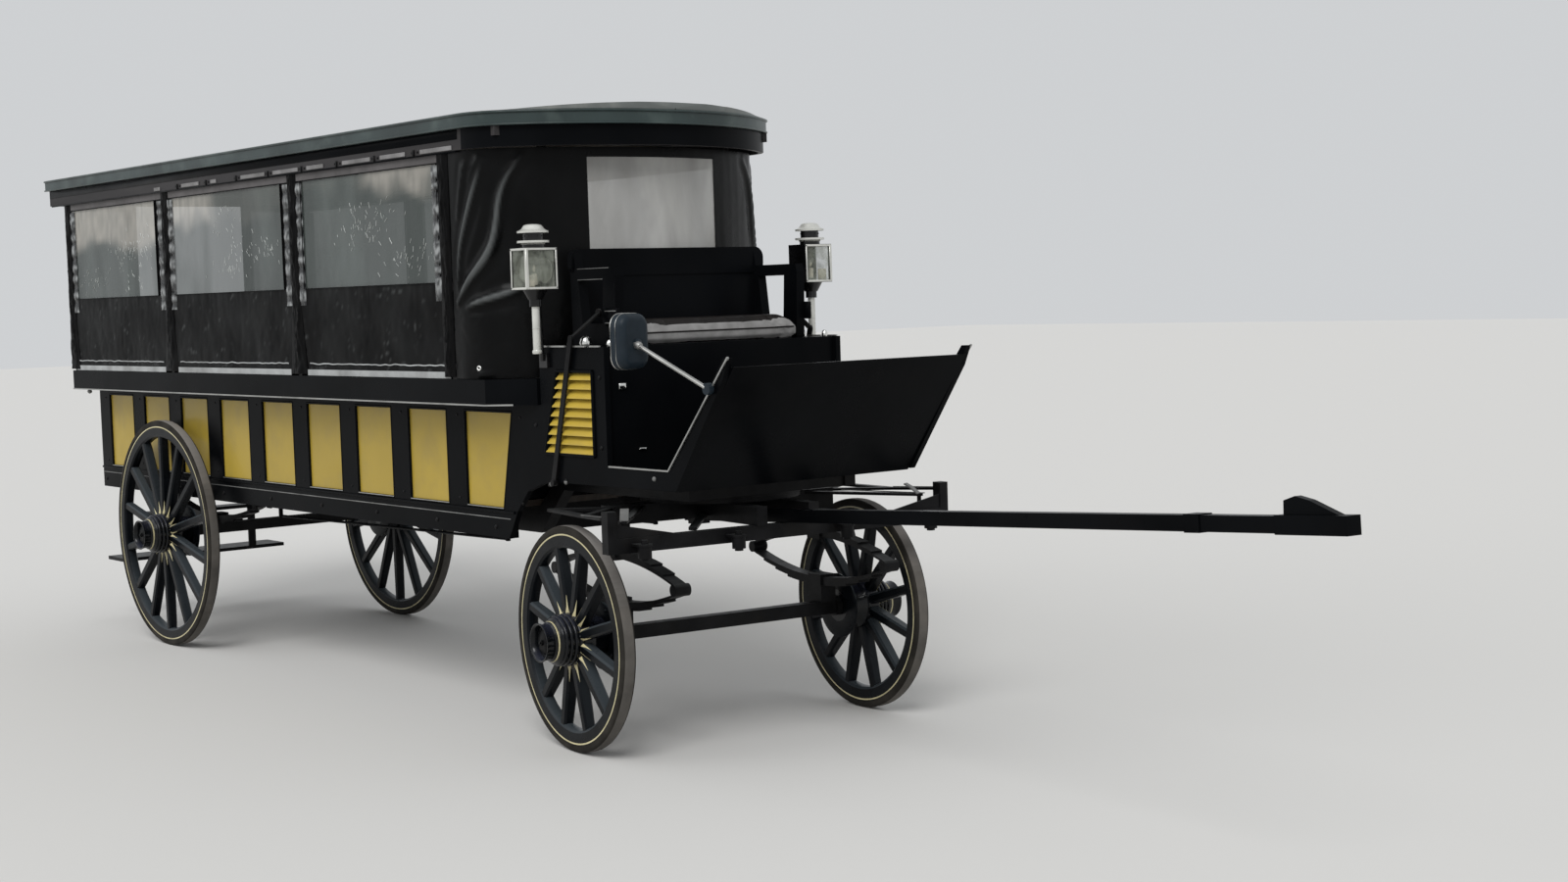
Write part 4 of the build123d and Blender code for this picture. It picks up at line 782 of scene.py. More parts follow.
def hang(name, us, zs, place, key, replaces, hole=None, crest=None):
    """Sheet over a grid, without the faces inside the hole (its ends along u, then along z)."""
    k = len(zs)
    faces, area = [], 0.0
    for face in grid_faces(len(us), k):
        (i, j), (i2, j2) = divmod(face[0], k), divmod(face[2], k)
        um, zm = (us[i] + us[i2]) / 2, (zs[j] + zs[j2]) / 2
        if not (hole and hole[0] < um < hole[1] and hole[2] < zm < hole[3]):
            faces.append(face)
            area += (us[i2] - us[i]) * (zs[j2] - zs[j]) / 1e6
    used = sorted({i for face in faces for i in face})
    remap = {old: new for new, old in enumerate(used)}
    spots = [(us[i // k], zs[i % k]) for i in used]
    lot = Lot()
    lot.add([place(u, z) for u, z in spots], [[remap[i] for i in face] for face in faces])
    obj = lot.make(name, key, replaces, 80, keep_normals=True)
    if crest:
        keep_crest(obj, [crest(u, z) for u, z in spots])


class Bay:
    """The curtain between two posts on one side: u runs along the wagon, z up."""

    def __init__(self, side, word, i):
        (self.a, self.b), (self.wa, self.wb) = SPANS[i], WINDOWS[i]
        self.side, self.i, self.tag = side, i, f"{word}_{i + 1}"
        self.seed = 5.1 * i + (1.7 if side > 0 else 0)

    def place(self, u, z, out=0.0):
        near = min(abs(u - self.wa), abs(u - self.wb), 80) / 80
        s = folds(u, z, self.seed) * (1.0 if z < WIN_LOW else 0.5 + 0.3 * near)
        return P(u, self.side * (671 + out + s * loose(z)), z)

    def tapered(self, u, z):
        """Pulled in towards its foot, apart from the front end of the last one."""
        pull = 46 * max(0.0, 1 - (z - CURTAIN_LOW) / 330) ** 1.6
        t = (u - self.a) / (self.b - self.a)
        if self.i == 2:
            t = min(t, 0.5)
        return self.place(u + pull * (1 - 2 * t) ** 3, z)

    def painted_crease_highlight(self, u, z):
        """Painted highlights on the cracks and bulges below the window."""
        if z > WIN_LOW:
            return 0.0
        seed = self.seed
        fine = abs(wave(u / 60 + z / 90, z / 26, seed + 23))
        spot = max(0.0, wave(u / 110, z / 60, seed + 5) - 0.05)
        broad = wave(u / 260, z / 190, seed + 31)
        under = max(0.0, wave(u / 16, z / 120, seed + 11)) * math.exp((z - WIN_LOW) / 60)
        crack = max(0.0, 0.05 - fine) / 0.05 * spot
        return clamp(0.04 + 0.22 * broad + 3.0 * crack + 0.5 * under)

    def paler_upper_edge(self, u, z):
        """A paler colour over the clear sheet along its upper edge, in its own way in each window."""
        s = (u - self.wa) / (self.wb - self.wa)
        h = (z - WIN_LOW) / (WIN_HIGH - WIN_LOW)
        h += 0.16 * wave(u / 150, z / 120, self.seed + 41)
        low, along = ((0.50 - 0.08 * s, 1.0),
                      (0.62, 1 - ease((s - 0.30) / 0.16)),
                      (0.86 - 0.16 * s, ease((s - 0.42) / 0.14)))[self.i]
        ragged = 0.82 + 0.35 * wave(u / 30, z / 80, self.seed + 47)
        return clamp(ease((h - low) / 0.22) * (0.12 + 0.88 * along) * ragged)

    def sheets(self):
        wa, wb = self.wa, self.wb
        hang(f"curtain_{self.tag}", steps([self.a, wa, wb, self.b], 14),
             steps([CURTAIN_LOW, WIN_LOW, WIN_HIGH, CURTAIN_TOP], 14), self.tapered, "curtain_vinyl",
             ["side_curtains"], hole=(wa, wb, WIN_LOW, WIN_HIGH), crest=self.painted_crease_highlight)
        hang(f"pane_{self.tag}", steps([wa - 14, wb + 14], 20), steps([WIN_LOW - 14, WIN_HIGH + 10], 20),
             lambda u, z: self.place(u, z, -1.2), "clear_vinyl", ["window_panes"],
             crest=self.paler_upper_edge)

    def welt(self):
        """Raised edge round the pane."""
        us, zs = steps([self.wa, self.wb], 40), steps([WIN_LOW, WIN_HIGH], 40)
        loop = ([(self.wa, z) for z in zs] + [(u, WIN_HIGH) for u in us][1:]
                + [(self.wb, z) for z in zs[::-1]][1:] + [(u, WIN_LOW) for u in us[::-1]][1:-1])
        lot = Lot()
        lot.sweep([self.place(u, z, 1.5) for u, z in loop], flat(1.2, 5), closed=True,
                  up=Vector((0, self.side, 0)))
        lot.make(f"pane_welt_{self.tag}", "curtain_vinyl", angle=50)

    def hems(self):
        """Pale hem, a stitched fold above it painted pale as a highlight line, and the pale strip over the
        window.
        """
        hem, valance = Lot(), Lot()
        ahead = 0 if self.i == 2 else 70
        for lot, z0, z1, out, cut, sway in ((hem, CURTAIN_LOW, CURTAIN_LOW + 25, 3.0, 48, 0.0),
                                            # the stitched fold is painted pale as a highlight line
                                            (hem, CURTAIN_LOW + 47, CURTAIN_LOW + 52, 2.6, 70, 5.0),
                                            (valance, WIN_HIGH + 3, CURTAIN_TOP - 2, 2.2, 6, 0.0)):
            us = steps([self.a + cut, self.b - min(cut, ahead)], 14)
            pts = []
            for u in us:
                dz = sway * wave(u / 60, self.seed, 1.0)
                for z, o in ((z0, out), (z1, out), (z1, out - 1.6), (z0, out - 1.6)):
                    pts.append(self.place(u, z + dz, o))
            lot.add(pts, ring_faces(len(us), 4))
        valance.make(f"curtain_valance_{self.tag}", "valance", angle=50)
        hem.make(f"curtain_hem_{self.tag}", "hem", angle=50)

    def scuffs(self):
        """Short pale scuffs in the clear sheet, in a few clusters."""
        wa, wb = self.wa, self.wb
        rng = random.Random(7 + 10 * self.i + (3 if self.side > 0 else 0))
        lot = Lot()
        for _ in range(5):
            cx, cz = rng.uniform(wa + 150, wb - 150), rng.uniform(WIN_LOW + 60, WIN_HIGH - 90)
            lean = rng.uniform(-0.9, 0.9)
            for _ in range(rng.randint(6, 34)):
                x, z = rng.gauss(cx, 90), rng.gauss(cz, 42)
                length, tilt = rng.uniform(7, 26), lean + rng.uniform(-0.35, 0.35)
                dx, dz = length * math.sin(tilt), length * math.cos(tilt)
                if (wa + 10 < min(x, x + dx) and max(x, x + dx) < wb - 10
                        and WIN_LOW + 10 < z and z + dz < WIN_HIGH - 10):
                    path = [self.place(x + dx * t, z + dz * t, 0.2) for t in (0, 0.5, 1)]
                    lot.tube(path, rng.uniform(0.45, 1.1), 4)
        lot.make(f"pane_scuffs_{self.tag}", "scratch", angle=60)


for side, word in SIDES:
    for i in range(len(SPANS)):
        bay = Bay(side, word, i)
        bay.sheets()
        bay.welt()
        bay.hems()
        bay.scuffs()


class FrontLine:
    """The front curtain's line round both corners: u is the distance along it."""

    def __init__(self):
        self.pts = outline(**inset(CURTAIN, 3), step=0.02)
        self.run = [0.0]
        for a, b in zip(self.pts[:-1], self.pts[1:]):
            self.run.append(self.run[-1] + math.dist(a, b))
        self.total = self.run[-1]

    def length_at(self, x):
        return next(u for u, p in zip(self.run, self.pts) if p[0] >= x)

    def spot(self, u):
        """Point at a distance, and the direction that faces out there."""
        i = min(bisect_left(self.run, u, 1), len(self.run) - 1) - 1
        (xa, ya), (xb, yb) = self.pts[i], self.pts[i + 1]
        t = (u - self.run[i]) / (self.run[i + 1] - self.run[i])
        return xa + (xb - xa) * t, ya + (yb - ya) * t, Vector((yb - ya, xa - xb)).normalized()


def rounded(line):
    """Cuts the corners of a line twice, so that a fold bends without a kink."""
    for _ in range(2):
        out = [line[0]]
        for p, q in zip(line[:-1], line[1:]):
            out += [tuple(a + (b - a) * t for a, b in zip(p, q)) for t in (0.25, 0.75)]
        line = out + [line[-1]]
    return line


# Folds that fan out from where each front corner is tied: (x, z, height, width) along each
FAN = (
    ((2936, 1664, 4, 9), (2942, 1832, 12, 13), (2990, 1950, 13, 15), (3042, 2066, 13, 16),
     (3082, 2180, 7, 18)),
    ((2925, 1656, 7, 10), (2990, 1730, 18, 15), (3070, 1814, 20, 20), (3106, 1904, 16, 17),
     (3126, 2084, 13, 16), (3146, 2198, 6, 16)),
    ((2990, 1645, 6, 10), (3040, 1660, 17, 14), (3118, 1688, 18, 20), (3162, 1712, 5, 18)),
    ((2960, 1980, 3, 10), (2998, 2174, 9, 12)),
    ((3022, 2110, 3, 9), (3046, 2200, 9, 14)),
    ((3005, 1402, 2, 8), (3050, 1387, 8, 10), (3095, 1393, 2, 8)),
)


def ridge(fan, u, z):
    """Height of the fanned folds at a point, each rounded and with a valley beside it."""
    total = 0.0
    for line in fan:
        near = []
        for (ua, za, ha, wa), (ub, zb, hb, wb) in zip(line[:-1], line[1:]):
            du, dz = ub - ua, zb - za
            t = clamp(((u - ua) * du + (z - za) * dz) / (du * du + dz * dz))
            gap = math.hypot(u - ua - t * du, z - za - t * dz)
            near.append((gap, ha + (hb - ha) * t, wa + (wb - wa) * t))
        gap, height, width = min(near, key=lambda row: row[0])
        total += height / (1 + (gap / width) ** 2) ** 2
        total -= 0.3 * height * math.exp(-((gap - 2.3 * width) / width) ** 2)
    return total


def front_curtain():
    """One sheet round both front corners with deep folds at the corners and a clear window."""
    line = FrontLine()
    total, start, mid = line.total, line.length_at(2863), line.total / 2
    wa, wb = mid - 300, mid + 300
    fan = [rounded([(line.length_at(x), z, h, w) for x, z, h, w in fold]) for fold in FAN]

    def place(u, z, out=0.0):
        x, y, n = line.spot(u)
        s = (ridge(fan, min(u, total - u), z) + folds(u, z, 9.3, 0.8)) * loose(z) + out
        return P(x + n.x * s, y + n.y * s, z)

    # Painted highlight on the crests of the fanned folds, where they would catch more light
    def crest(u, z):
        return clamp((ridge(fan, min(u, total - u), z) - 4.5) / 9) ** 1.4

    hang("curtain_front", steps([start, wa, wb, total - start], 9),
         steps([CURTAIN_LOW, FRONT_WIN_LOW, WIN_HIGH, CURTAIN_TOP], 10), place, "corner_vinyl",
         ["front_curtain"], hole=(wa, wb, FRONT_WIN_LOW, WIN_HIGH), crest=crest)
    hang("pane_front", steps([wa - 12, wb + 12], 22), steps([FRONT_WIN_LOW - 12, WIN_HIGH + 10], 22),
         lambda u, z: place(u, z, -1.2), "front_vinyl", ["window_panes"])
    eyelets = Lot()
    corner = line.length_at(3030)
    for u in (corner, mid - 330, mid + 330, total - corner):
        facing = line.spot(u)[2].to_3d()
        eyelets.lathe([(0, 4), (2, 5), (3, 8), (2, 10), (0, 11)], place(u, 1414, 1.0), facing, 20)
    eyelets.make("curtain_eyelets", "bright_metal", angle=60)


def rear_curtains():
    wa, wb = 356, 592
    for side, word in SIDES:
        def place(u, z, out=0.0):
            return P(-998 - out - folds(u, z, 14.2 + side) * loose(z), side * u, z)

        hang(f"curtain_rear_{word}", steps([296, wa, wb, 664], 15),
             steps([CURTAIN_LOW, WIN_LOW, WIN_HIGH, CURTAIN_TOP], 16), place, "curtain_vinyl",
             ["rear_curtains"], hole=(wa, wb, WIN_LOW, WIN_HIGH))
        hang(f"pane_rear_{word}", steps([wa - 12, wb + 12], 20), steps([WIN_LOW - 14, WIN_HIGH + 10], 20),
             lambda u, z: place(u, z, -1.2), "clear_vinyl", ["window_panes"])


front_curtain()
rear_curtains()


# Both ends of each gap between the curtains, from the rear
POSTS = ((-1004, -944), (232, 290), (1567, 1625), (2836, 2886))


def roll_faces(lot, i, side, xa, xb):
    """Dark crumpled fold over a post, wider towards its foot."""
    xs, zs = steps([xa - 16, xb + 16], 6), steps([CURTAIN_LOW + 6, CURTAIN_TOP - 6], 10)
    mid = (xa + xb) / 2
    pts = []
    for x, z in product(xs, zs):
        bulge = math.sin(math.pi * (x - xs[0]) / (xs[-1] - xs[0]))
        fold = abs(wave(x / 17 + z / 260, z / 110, 2.0 + i + side)) * 11
        crease = abs(wave(x / 9, z / 26, 6.0 + i)) * 6
        flare = 1 + (0.75 if i < 3 else 0) * max(0.0, 1 - (z - CURTAIN_LOW) / 300) ** 1.5
        pts.append(P(max(-1010, mid + (x - mid) * flare), side * (672.8 + (5 + fold + crease) * bulge), z))
    lot.add(pts, grid_faces(len(xs), len(zs)))


def puff_faces(lot, i, side, x0, x1, ahead):
    """Bunched edge of clear sheet beside a post. Returns how strongly each point gets the painted highlight.
    """
    xs, zs = steps([x0, x1], 5), steps([WIN_LOW - 70, WIN_HIGH - 6], 7)
    pts, painted_shine = [], []
    for x, z in product(xs, zs):
        drift = 46 * wave(z / 85, 4.0 * i, 7.0 * ahead + side)
        knot = abs(math.sin(math.pi * (z + drift + 23 * i + 31 * ahead) / 76))
        rough = wave(x / 8, z / 19, 3.0 + i)
        rise = (10 * knot ** 0.7 + 3.5 * rough) * math.sin(math.pi * (x - x0) / (x1 - x0)) ** 0.7
        pts.append(P(x, side * (672 + rise), z))
        # Painted highlight on the knots of the bunched sheet, broken into patches
        patch = 0.6 + 1.5 * wave(x / 14, z / 24, 8.0 + i + side)
        painted_shine.append(clamp((knot - 0.55) * 2.2) * max(0.1, min(1.0, patch)))
    lot.add(pts, grid_faces(len(xs), len(zs)))
    return painted_shine


def joints_between():
    """At each post a dark crumpled fold between two bunched edges of clear vinyl."""
    for side, word in SIDES:
        roll, puffs, painted_shine = Lot(), Lot(), []
        for i, (xa, xb) in enumerate(POSTS):
            roll_faces(roll, i, side, xa, xb)
            if i > 0:
                painted_shine += puff_faces(puffs, i, side, xa - 60, xa - 4, False)
            if i < 3:
                painted_shine += puff_faces(puffs, i, side, xb + 4, xb + 60, True)
        roll.make(f"curtain_joint_{word}", "curtain_vinyl", angle=70, keep_normals=True)
        keep_crest(puffs.make(f"curtain_puffs_{word}", "puff", angle=70, keep_normals=True), painted_shine)


joints_between()


# Body trim, drawn on the left and mirrored
BODY_Y = 550


def frame_sides(loop, y):
    """Sides of a closed outline of (x, z) points, each as a path of three points."""
    for (xa, za), (xb, zb) in zip(loop, loop[1:] + loop[:1]):
        yield [P(xa + (xb - xa) * t, y, za + (zb - za) * t) for t in (0, 0.5, 1)]


def panel_trim(trim, black, bolts, edge):
    """Pale edge under the ledge, beads and bolts round the yellow panels, and the sill."""
    ledge = ((-1000, 679), (1000, 679), (3120, 679), (3212, 614))
    trim.sweep([P(x, y, 1277) for x, y in ledge], flat(3.5, 3))
    for i in range(9):
        x0 = -850 + 449 * i
        x1, lean = x0 + 310, 40 if i == 8 else 0
        corners = [(x0, 872), (x1 - lean, 872), (x1 + lean, 1245), (x0, 1245)]
        paths = list(frame_sides(corners, BODY_Y - 4))
        # Painted highlight: a pale strip along the bottom bead of each panel
        trim.sweep([p + Vector((0, 0.003, 0.002)) for p in paths[0]], flat(2.5, 2.5))
        for path in paths:
            black.tube(path, 6, 8)
    for x in [-905 + 449 * i for i in range(9)] + [3150]:
        for z in (900, 1225):
            bolts.bolt(P(x, BODY_Y, z), LEFT, 5.5, 3)
    for x in (-940, -500, 0, 500, 1000, 1500, 2000, 2500, 2950):
        bolts.bolt(P(x, BODY_Y, 800), LEFT, 9, 6)
    black.tube([P(x, BODY_Y + 1, 862) for x in (-978, 1000, 3090)], 6, 8)
    edge.box((-978, BODY_Y, 834), (3058, BODY_Y + 1.5, 838), 0.5)
    edge.lathe([(0, 0), (0, 9), (8, 12), (16, 9), (20, 0)], P(-832, 660, 1272), -UP, 20)


def boot_trim(trim, black, bolts, edge, feet):
    """Edges of the boot and footwell, frame of the louvres, bolts, feet and latches."""
    for line in (((3296, 1492), (3478, 1492)), ((3524, 1492), (3610, 1492)), ((3640, 1492), (3700, 1492)),
                 ((3735, 1066), (4093, 1066), (4446, 1456))):
        trim.sweep([P(x, BODY_Y + 1.5, z) for x, z in line], flat(4, 3))
    for path in frame_sides([(3325, 1098), (3648, 1098), (3648, 1402), (3418, 1402)], BODY_Y + 2):
        black.tube(path, 7, 8)
    for x, z in ((3340, 981), (3450, 1001), (3200, 1300), (3260, 1200), (3690, 1130), (3690, 1380)):
        bolts.bolt(P(x, BODY_Y, z), LEFT, 8, 6)
    for x, z in ((3350, 985), (3450, 997), (4006, 1035)):
        edge.bolt(P(x, BODY_Y, z), LEFT, 9, 7)
    for x, r, h in ((3433, 12, 26), (3536, 24, 40), (3690, 12, 26)):
        feet.lathe([(0, 0), (0, r * 0.9), (h * 0.35, r), (h * 0.75, r * 0.8), (h * 0.95, r * 0.4), (h, 0)],
                   P(x, 500, 1490), UP, 24)
    for y0, y1, z0, z1 in ((370, 400, 1114, 1122), (450, 480, 1336, 1358)):
        feet.box((3705, y0, z0), (3712, y1, z1), 1.5)


def bench_trim(black, edge):
    """Pale edges of the bench arm and the small bracket beside the seat."""
    for z, x in ((1731, 3572), (1771, 3612)):
        edge.box((3410, 440.5, z - 1.5), (x, 442, z + 1.5), 0.5)
    for z in (1572, 1615):
        edge.box((3600, 452, z - 2), (3668, 457, z + 2), 1)
    black.box((3598, 440.3, 1560), (3672, 452.2, 1626), 2)


def brake_rod(black):
    """Rod that works the rear brakes, on two levers under the beam."""
    black.tube([P(690 + 509 * q, 360, 687 + 8 * q) for q in range(5)], 6, 8)
    for x, z in ((696, 679), (2720, 711)):
        black.box((x - 10, 353, z), (x + 10, 367, 768), 1.5)


def body_trim():
    lots = trim, black, bolts, edge, feet = [Lot() for _ in range(5)]
    panel_trim(trim, black, bolts, edge)
    boot_trim(trim, black, bolts, edge, feet)
    bench_trim(black, edge)
    brake_rod(black)
    for lot in lots:
        lot.mirror()
    trim.make("body_trim", "trim")
    edge.make("worn_edges", "iron_edge", angle=50)
    feet.make("boot_feet", "bright_metal", angle=50)
    black.make("body_beads", "body_black", angle=60)
    bolts.make("body_bolts", "frame_black", angle=50)


def iron_edges():
    """Pale strips along the stays of the fore-carriage and a flat lug on each brace."""
    edge = Lot()
    for side, _ in SIDES:
        for stay in (((394, 704, 918), (172, 674.5, 908)), ((409, 647.5, 900), (120, 468, 908))):
            a, b = (F(x, side * y, z) for x, y, z in stay)
            edge.sweep([a.lerp(b, t) for t in (0, 0.5, 1)], [(-2, -3), (2, -3), (2, 0.5), (-2, 0.5)])
        edge.sweep([F(398, side * 628, 897), F(372, side * 612, 922), F(352, side * 600, 934)], flat(15, 2.5))
    edge.make("stay_edges", "iron_edge", body="forecarriage")


body_trim()
iron_edges()


# Seats
def cushion(name, lo, hi, top_axis, crown, squares, replaces):
    """Padded block: rounded superellipse sides, crowned towards top_axis, sewn channels across."""
    lo, hi = Vector(lo), Vector(hi)
    size, mid = hi - lo, (lo + hi) / 2
    t = abs(top_axis) - 1
    sgn = 1 if top_axis > 0 else -1
    v, u = sorted((a for a in range(3) if a != t), key=lambda a: size[a])
    nu, nv = max(16, int(size[u] / 22)), 18

    def point(a, b, face):
        """a, b from -1 to 1 over the pad; face +1 outer, -1 back."""
        ea = max(0.0, 1 - abs(a) ** (18 * size[u] / 800))
        eb = max(0.0, 1 - abs(b) ** 6)
        full = (ea * eb) ** 0.33
        half = size[t] / 2 * (0.62 + 0.38 * full)
        c = [0.0, 0.0, 0.0]
        c[u] = mid[u] + a * (size[u] / 2 - 2 * (1 - eb))
        c[v] = mid[v] + b * size[v] / 2
        if face > 0:
            sewn = abs(math.sin(math.pi * squares * (a + 1) / 2)) ** 0.35 if squares else 1.0
            lift = crown * full * (0.45 + 0.55 * sewn)
            wrinkle = 1.6 * wave(c[0] / 60, c[1] / 60, c[2] / 60 + 5) * full
            c[t] = mid[t] + sgn * (half - crown + lift + wrinkle)
        else:
            c[t] = mid[t] - sgn * half
        return P(*c)

    pts = []
    for face in (1, -1):
        for i in range(nu + 1):
            for j in range(nv + 1):
                b = -1 + 2 * j / nv
                pts.append(point(-1 + 2 * i / nu, math.copysign(abs(b) ** 0.8, b), face))
    k, off = nv + 1, (nu + 1) * (nv + 1)
    faces = grid_faces(nu + 1, k)
    faces += [tuple(q + off for q in face[::-1]) for face in faces]
    edge = ([i * k for i in range(nu + 1)] + [nu * k + j for j in range(1, nv + 1)]
            + [i * k + nv for i in range(nu - 1, -1, -1)] + list(range(nv - 1, 0, -1)))
    faces += [(a, b, b + off, a + off) for a, b in zip(edge, edge[1:] + edge[:1])]
    lot = Lot()
    lot.add(pts, faces)
    obj = lot.make(name, "cushion", replaces, 60)
    return obj, [lot.v[i] for i in edge][::2]


def piping(pad, path):
    """Sewn cord round the pad's seam, laid on its finished surface."""
    mesh = pad.data
    tree = BVHTree.FromPolygons([v.co for v in mesh.vertices], [tuple(p.vertices) for p in mesh.polygons])
    pipe = Lot()
    pipe.tube([tree.find_nearest(p)[0] for p in path], 3.2, 6, closed=True)
    pipe.make(pad.name + "_piping", "cushion", angle=70)


def evaluated(obj):
    return obj.evaluated_get(bpy.context.evaluated_depsgraph_get())


def apply_modifiers(obj):
    mesh = bpy.data.meshes.new_from_object(evaluated(obj))
    obj.modifiers.clear()
    obj.data = mesh


def swell(obj, lo, hi):
    """Air pressure in a cloth skin rounds the pad; it stays between two corners."""
    frames, reach = 20, 0.016
    remesh = obj.modifiers.new("voxels", "REMESH")
    remesh.mode = "VOXEL"
    remesh.voxel_size = 0.006
    apply_modifiers(obj)
    rest = [v.co.copy() for v in obj.data.vertices]
    cloth = obj.modifiers.new("cloth", "CLOTH")
    cloth.settings.use_pressure = True
    cloth.settings.uniform_pressure_force = 4
    cloth.settings.effector_weights.gravity = 0
    cloth.point_cache.frame_end = frames
    for number in range(1, frames + 1):
        bpy.context.scene.frame_set(number)
    moved = [v.co.copy() for v in evaluated(obj).data.vertices]
    obj.modifiers.clear()
    bpy.context.scene.frame_set(1)
    lo, hi = P(*lo), P(*hi)
    for v, a, b in zip(obj.data.vertices, rest, moved):
        step = b - a
        if step.length > reach:
            step = step * reach / step.length
        v.co = Vector(min(max(c, low), high) for c, low, high in zip(a + step, lo, hi))
    obj.modifiers.new("soft", "SUBSURF").levels = 1
    apply_modifiers(obj)
    obj.data.polygons.foreach_set("use_smooth", [True] * len(obj.data.polygons))


def front_band(obj, x):
    """The pad's front face is covered in grey cloth."""
    obj.data.materials.append(M["pad_front"])
    for p in obj.data.polygons:
        if p.center.x > P(x, 0, 0).x and p.normal.x > 0.55:
            p.material_index = 1


def seats():
    for side, word in SIDES:
        y0, y1 = sorted((side * 281, side * 572))
        piping(*cushion(f"seat_pad_{word}", (-920, y0, 1373), (2980, y1, 1434), 3, 16, 9,
                        ["passenger_cushions"]))
        y0, y1 = sorted((side * 588, side * 634))
        piping(*cushion(f"back_pad_{word}", (-920, y0, 1374), (2980, y1, 1702), -2 * side, 14, 12,
                        ["passenger_cushions"]))
    pad, path = cushion("driver_pad", (3390, -392, 1491), (3668, 392, 1566), 3, 18, 0, ["driver_cushion"])
    swell(pad, (3382.5, -401, 1490.4), (3672, 401, 1582))
    piping(pad, path)
    front_band(pad, 3640)


seats()


# Lamps
def lamp_metal(x, y, side, bright, black):
    """Glazing frames on the front and outer faces with the post between, roof, stem and holes."""
    for z0, z1 in ((1701, 1709), (1841, 1849)):
        bright.box((x + 46, y - 65, z0), (x + 54, y + 65, z1), 1)
        bright.box((x - 52, y + side * 59, z0), (x + 52, y + side * 67, z1), 1)
    bright.box((x + 43, y + side * 56, 1703), (x + 54.5, y + side * 67.5, 1847), 1.5)
    bright.box((x + 46, y - side * 65, 1703), (x + 54, y - side * 58, 1847), 1)
    bright.box((x - 52, y + side * 59, 1703), (x - 45, y + side * 67, 1847), 1)
    for profile, z, n in (
        ([(0, 56.3), (0, 57), (7, 57), (9, 50), (15, 41), (22, 36.5), (28, 32), (31, 20), (32, 0)],
         1903.6, 40),
        ([(0, 42), (3, 44), (6, 42)], 1862, 40),
        ([(-7, 0), (-7, 16), (0, 18.5), (7, 16), (7, 0)], 1476, 24),
        ([(-3, 13), (0, 15.5), (3, 13)], 1560, 24),
    ):
        bright.lathe(profile, P(x, y, z), UP, n)
    black.lathe([(0, 0), (0, 16), (6, 18), (10, 14), (10, 0)], P(x, y, 1707), UP, 20)
    for i in range(12):
        a = 2 * math.pi * i / 12
        d = Vector((math.cos(a), math.sin(a), 0))
        black.lathe([(0, 0), (0, 3), (1.5, 3), (2, 0)], P(x, y, 1893) + d * 0.036, d, 10)


def lamp_inside(x, y, side, glow, murk):
    """Reflectors behind and beside the candle, the candle and its flame."""
    murk.lathe([(0, 0), (2, 20), (8, 40), (17, 57), (19, 57), (11, 40), (5, 20), (3, 0)],
               P(x - 46, y - side * 4, 1775), AHEAD, 32)
    murk.lathe([(0, 0), (2, 18), (7, 34), (14, 46), (16, 46), (10, 34), (5, 18), (3, 0)],
               P(x + 2, y - side * 60, 1768), Vector((0, side, 0)), 32)
    murk.box((x - 46, y - side * 61.5, 1709), (x + 40, y - side * 60, 1841), 0.5)
    murk.box((x - 48, y - 58, 1709), (x - 46.5, y + 58, 1841), 0.5)
    glow.lathe([(0, 0), (0, 11), (46, 11), (48, 8), (48, 0)], P(x, y, 1709), UP, 20)
    glow.lathe([(0, 0), (4, 4), (12, 6), (22, 3), (30, 0)], P(x, y, 1762), UP, 12)
    glow.box((x + 16, y + side * 22, 1709), (x + 40, y + side * 50, 1753), 3)


def lamp(side, word):
    x, y = 3440.0, side * 646.0
    bright, black, glow, murk = (Lot() for _ in range(4))
    lamp_metal(x, y, side, bright, black)
    lamp_inside(x, y, side, glow, murk)
    murk.make(f"lamp_reflector_{word}", "murk", angle=40)
    bright.make(f"lamp_bright_{word}", "lamp_pale", angle=40)
    black.make(f"lamp_detail_{word}", "lamp_black", angle=40)
    glow.make(f"lamp_candle_{word}", "candle", angle=50)


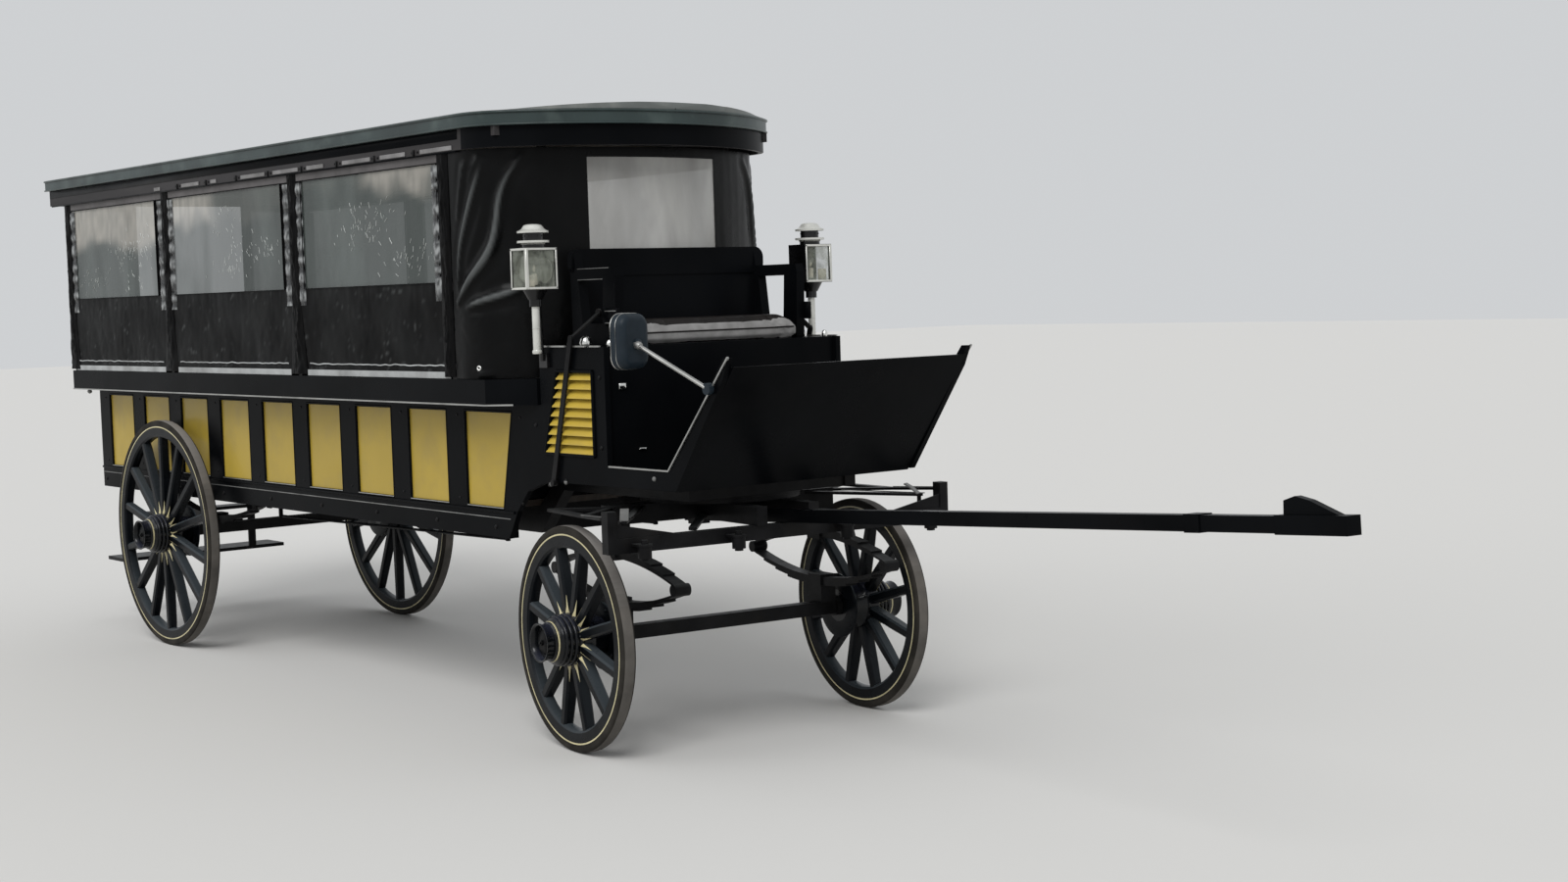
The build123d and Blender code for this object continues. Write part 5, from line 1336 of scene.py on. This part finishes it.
def mirror_trim():
    """Pale rim and glass of the mirror, bright sleeve and knuckle on its arm."""
    turn = math.radians(12)
    ahead, across = Vector((math.cos(turn), math.sin(turn), 0)), Vector((-math.sin(turn), math.cos(turn), 0))
    centre = P(3985, -615, 1512)

    def loop(w, h, r, x):
        """Rounded rectangle that faces ahead, x millimetres before the mirror's middle."""
        pts = []
        for cx, cz, a0 in ((w - r, h - r, 0), (r - w, h - r, 90), (r - w, r - h, 180), (w - r, r - h, 270)):
            for q in range(7):
                a = math.radians(a0 + 15 * q)
                pts.append(centre + ahead * x / 1000 + across * (cx + r * math.cos(a)) / 1000
                           + UP * (cz + r * math.sin(a)) / 1000)
        return pts

    rim, face, arm = Lot(), Lot(), Lot()
    rim.tube(loop(70.5, 95.5, 44, -27), 2.4, 8, closed=True)
    rim.tube(loop(70.5, 95.5, 44, -4), 1.6, 8, closed=True)
    rim.make("mirror_rim", "trim", angle=60)
    front = loop(66, 91, 40, -31.5)
    face.add(front + loop(66, 91, 40, -29), ring_faces(2, len(front)))
    face.make("mirror_glass", "mirror_face")
    a, b = P(4024, -612, 1499), P(4345, -562, 1352)
    arm.tube([a.lerp(b, t) for t in (0.02, 0.35, 0.7, 0.97)], 7.6, 14)
    arm.lathe([(-14, 7), (-12, 12), (0, 15.6), (12, 12), (14, 7)], a, b - a, 20)
    arm.make("mirror_arm", "trim", angle=50)


mirror_trim()
for side, word in SIDES:
    lamp(side, word)


# Stage and light
def pale_floor():
    size = 60.0
    mesh = bpy.data.meshes.new("floor")
    mesh.from_pydata([(*corner, 0) for corner in flat(size, size)], [], [(0, 1, 2, 3)])
    floor = bpy.data.objects.new("floor", mesh)
    bpy.context.scene.collection.objects.link(floor)
    m = bpy.data.materials.new("pale_floor")
    m.use_nodes = True
    bsdf = find_node(m, "BSDF_PRINCIPLED")
    bsdf.inputs["Base Color"].default_value = (0.62, 0.61, 0.59, 1)
    bsdf.inputs["Roughness"].default_value = 0.9
    mesh.materials.append(m)


def sky():
    world = bpy.data.worlds.new("world")
    world.use_nodes = True
    background = world.node_tree.nodes["Background"]
    background.inputs["Color"].default_value = (0.86, 0.88, 0.9, 1)
    background.inputs["Strength"].default_value = 0.72
    bpy.context.scene.world = world
    bpy.context.scene.view_settings.view_transform = "Standard"


def sun(name, place, angle, power):
    """Soft light that shines from a place towards the middle of the row's frame."""
    data = bpy.data.lights.new(name, "SUN")
    data.angle, data.energy = math.radians(angle), power
    light = bpy.data.objects.new(name, data)
    bpy.context.scene.collection.objects.link(light)
    light.location = place
    light.rotation_euler = (-Vector(place)).to_track_quat("-Z", "Y").to_euler()


pale_floor()
sky()
sun("key", (6.0, -7.0, 9.0), 30.0, 1.7)
sun("fill", (-4.0, -8.0, 5.0), 40.0, 0.5)
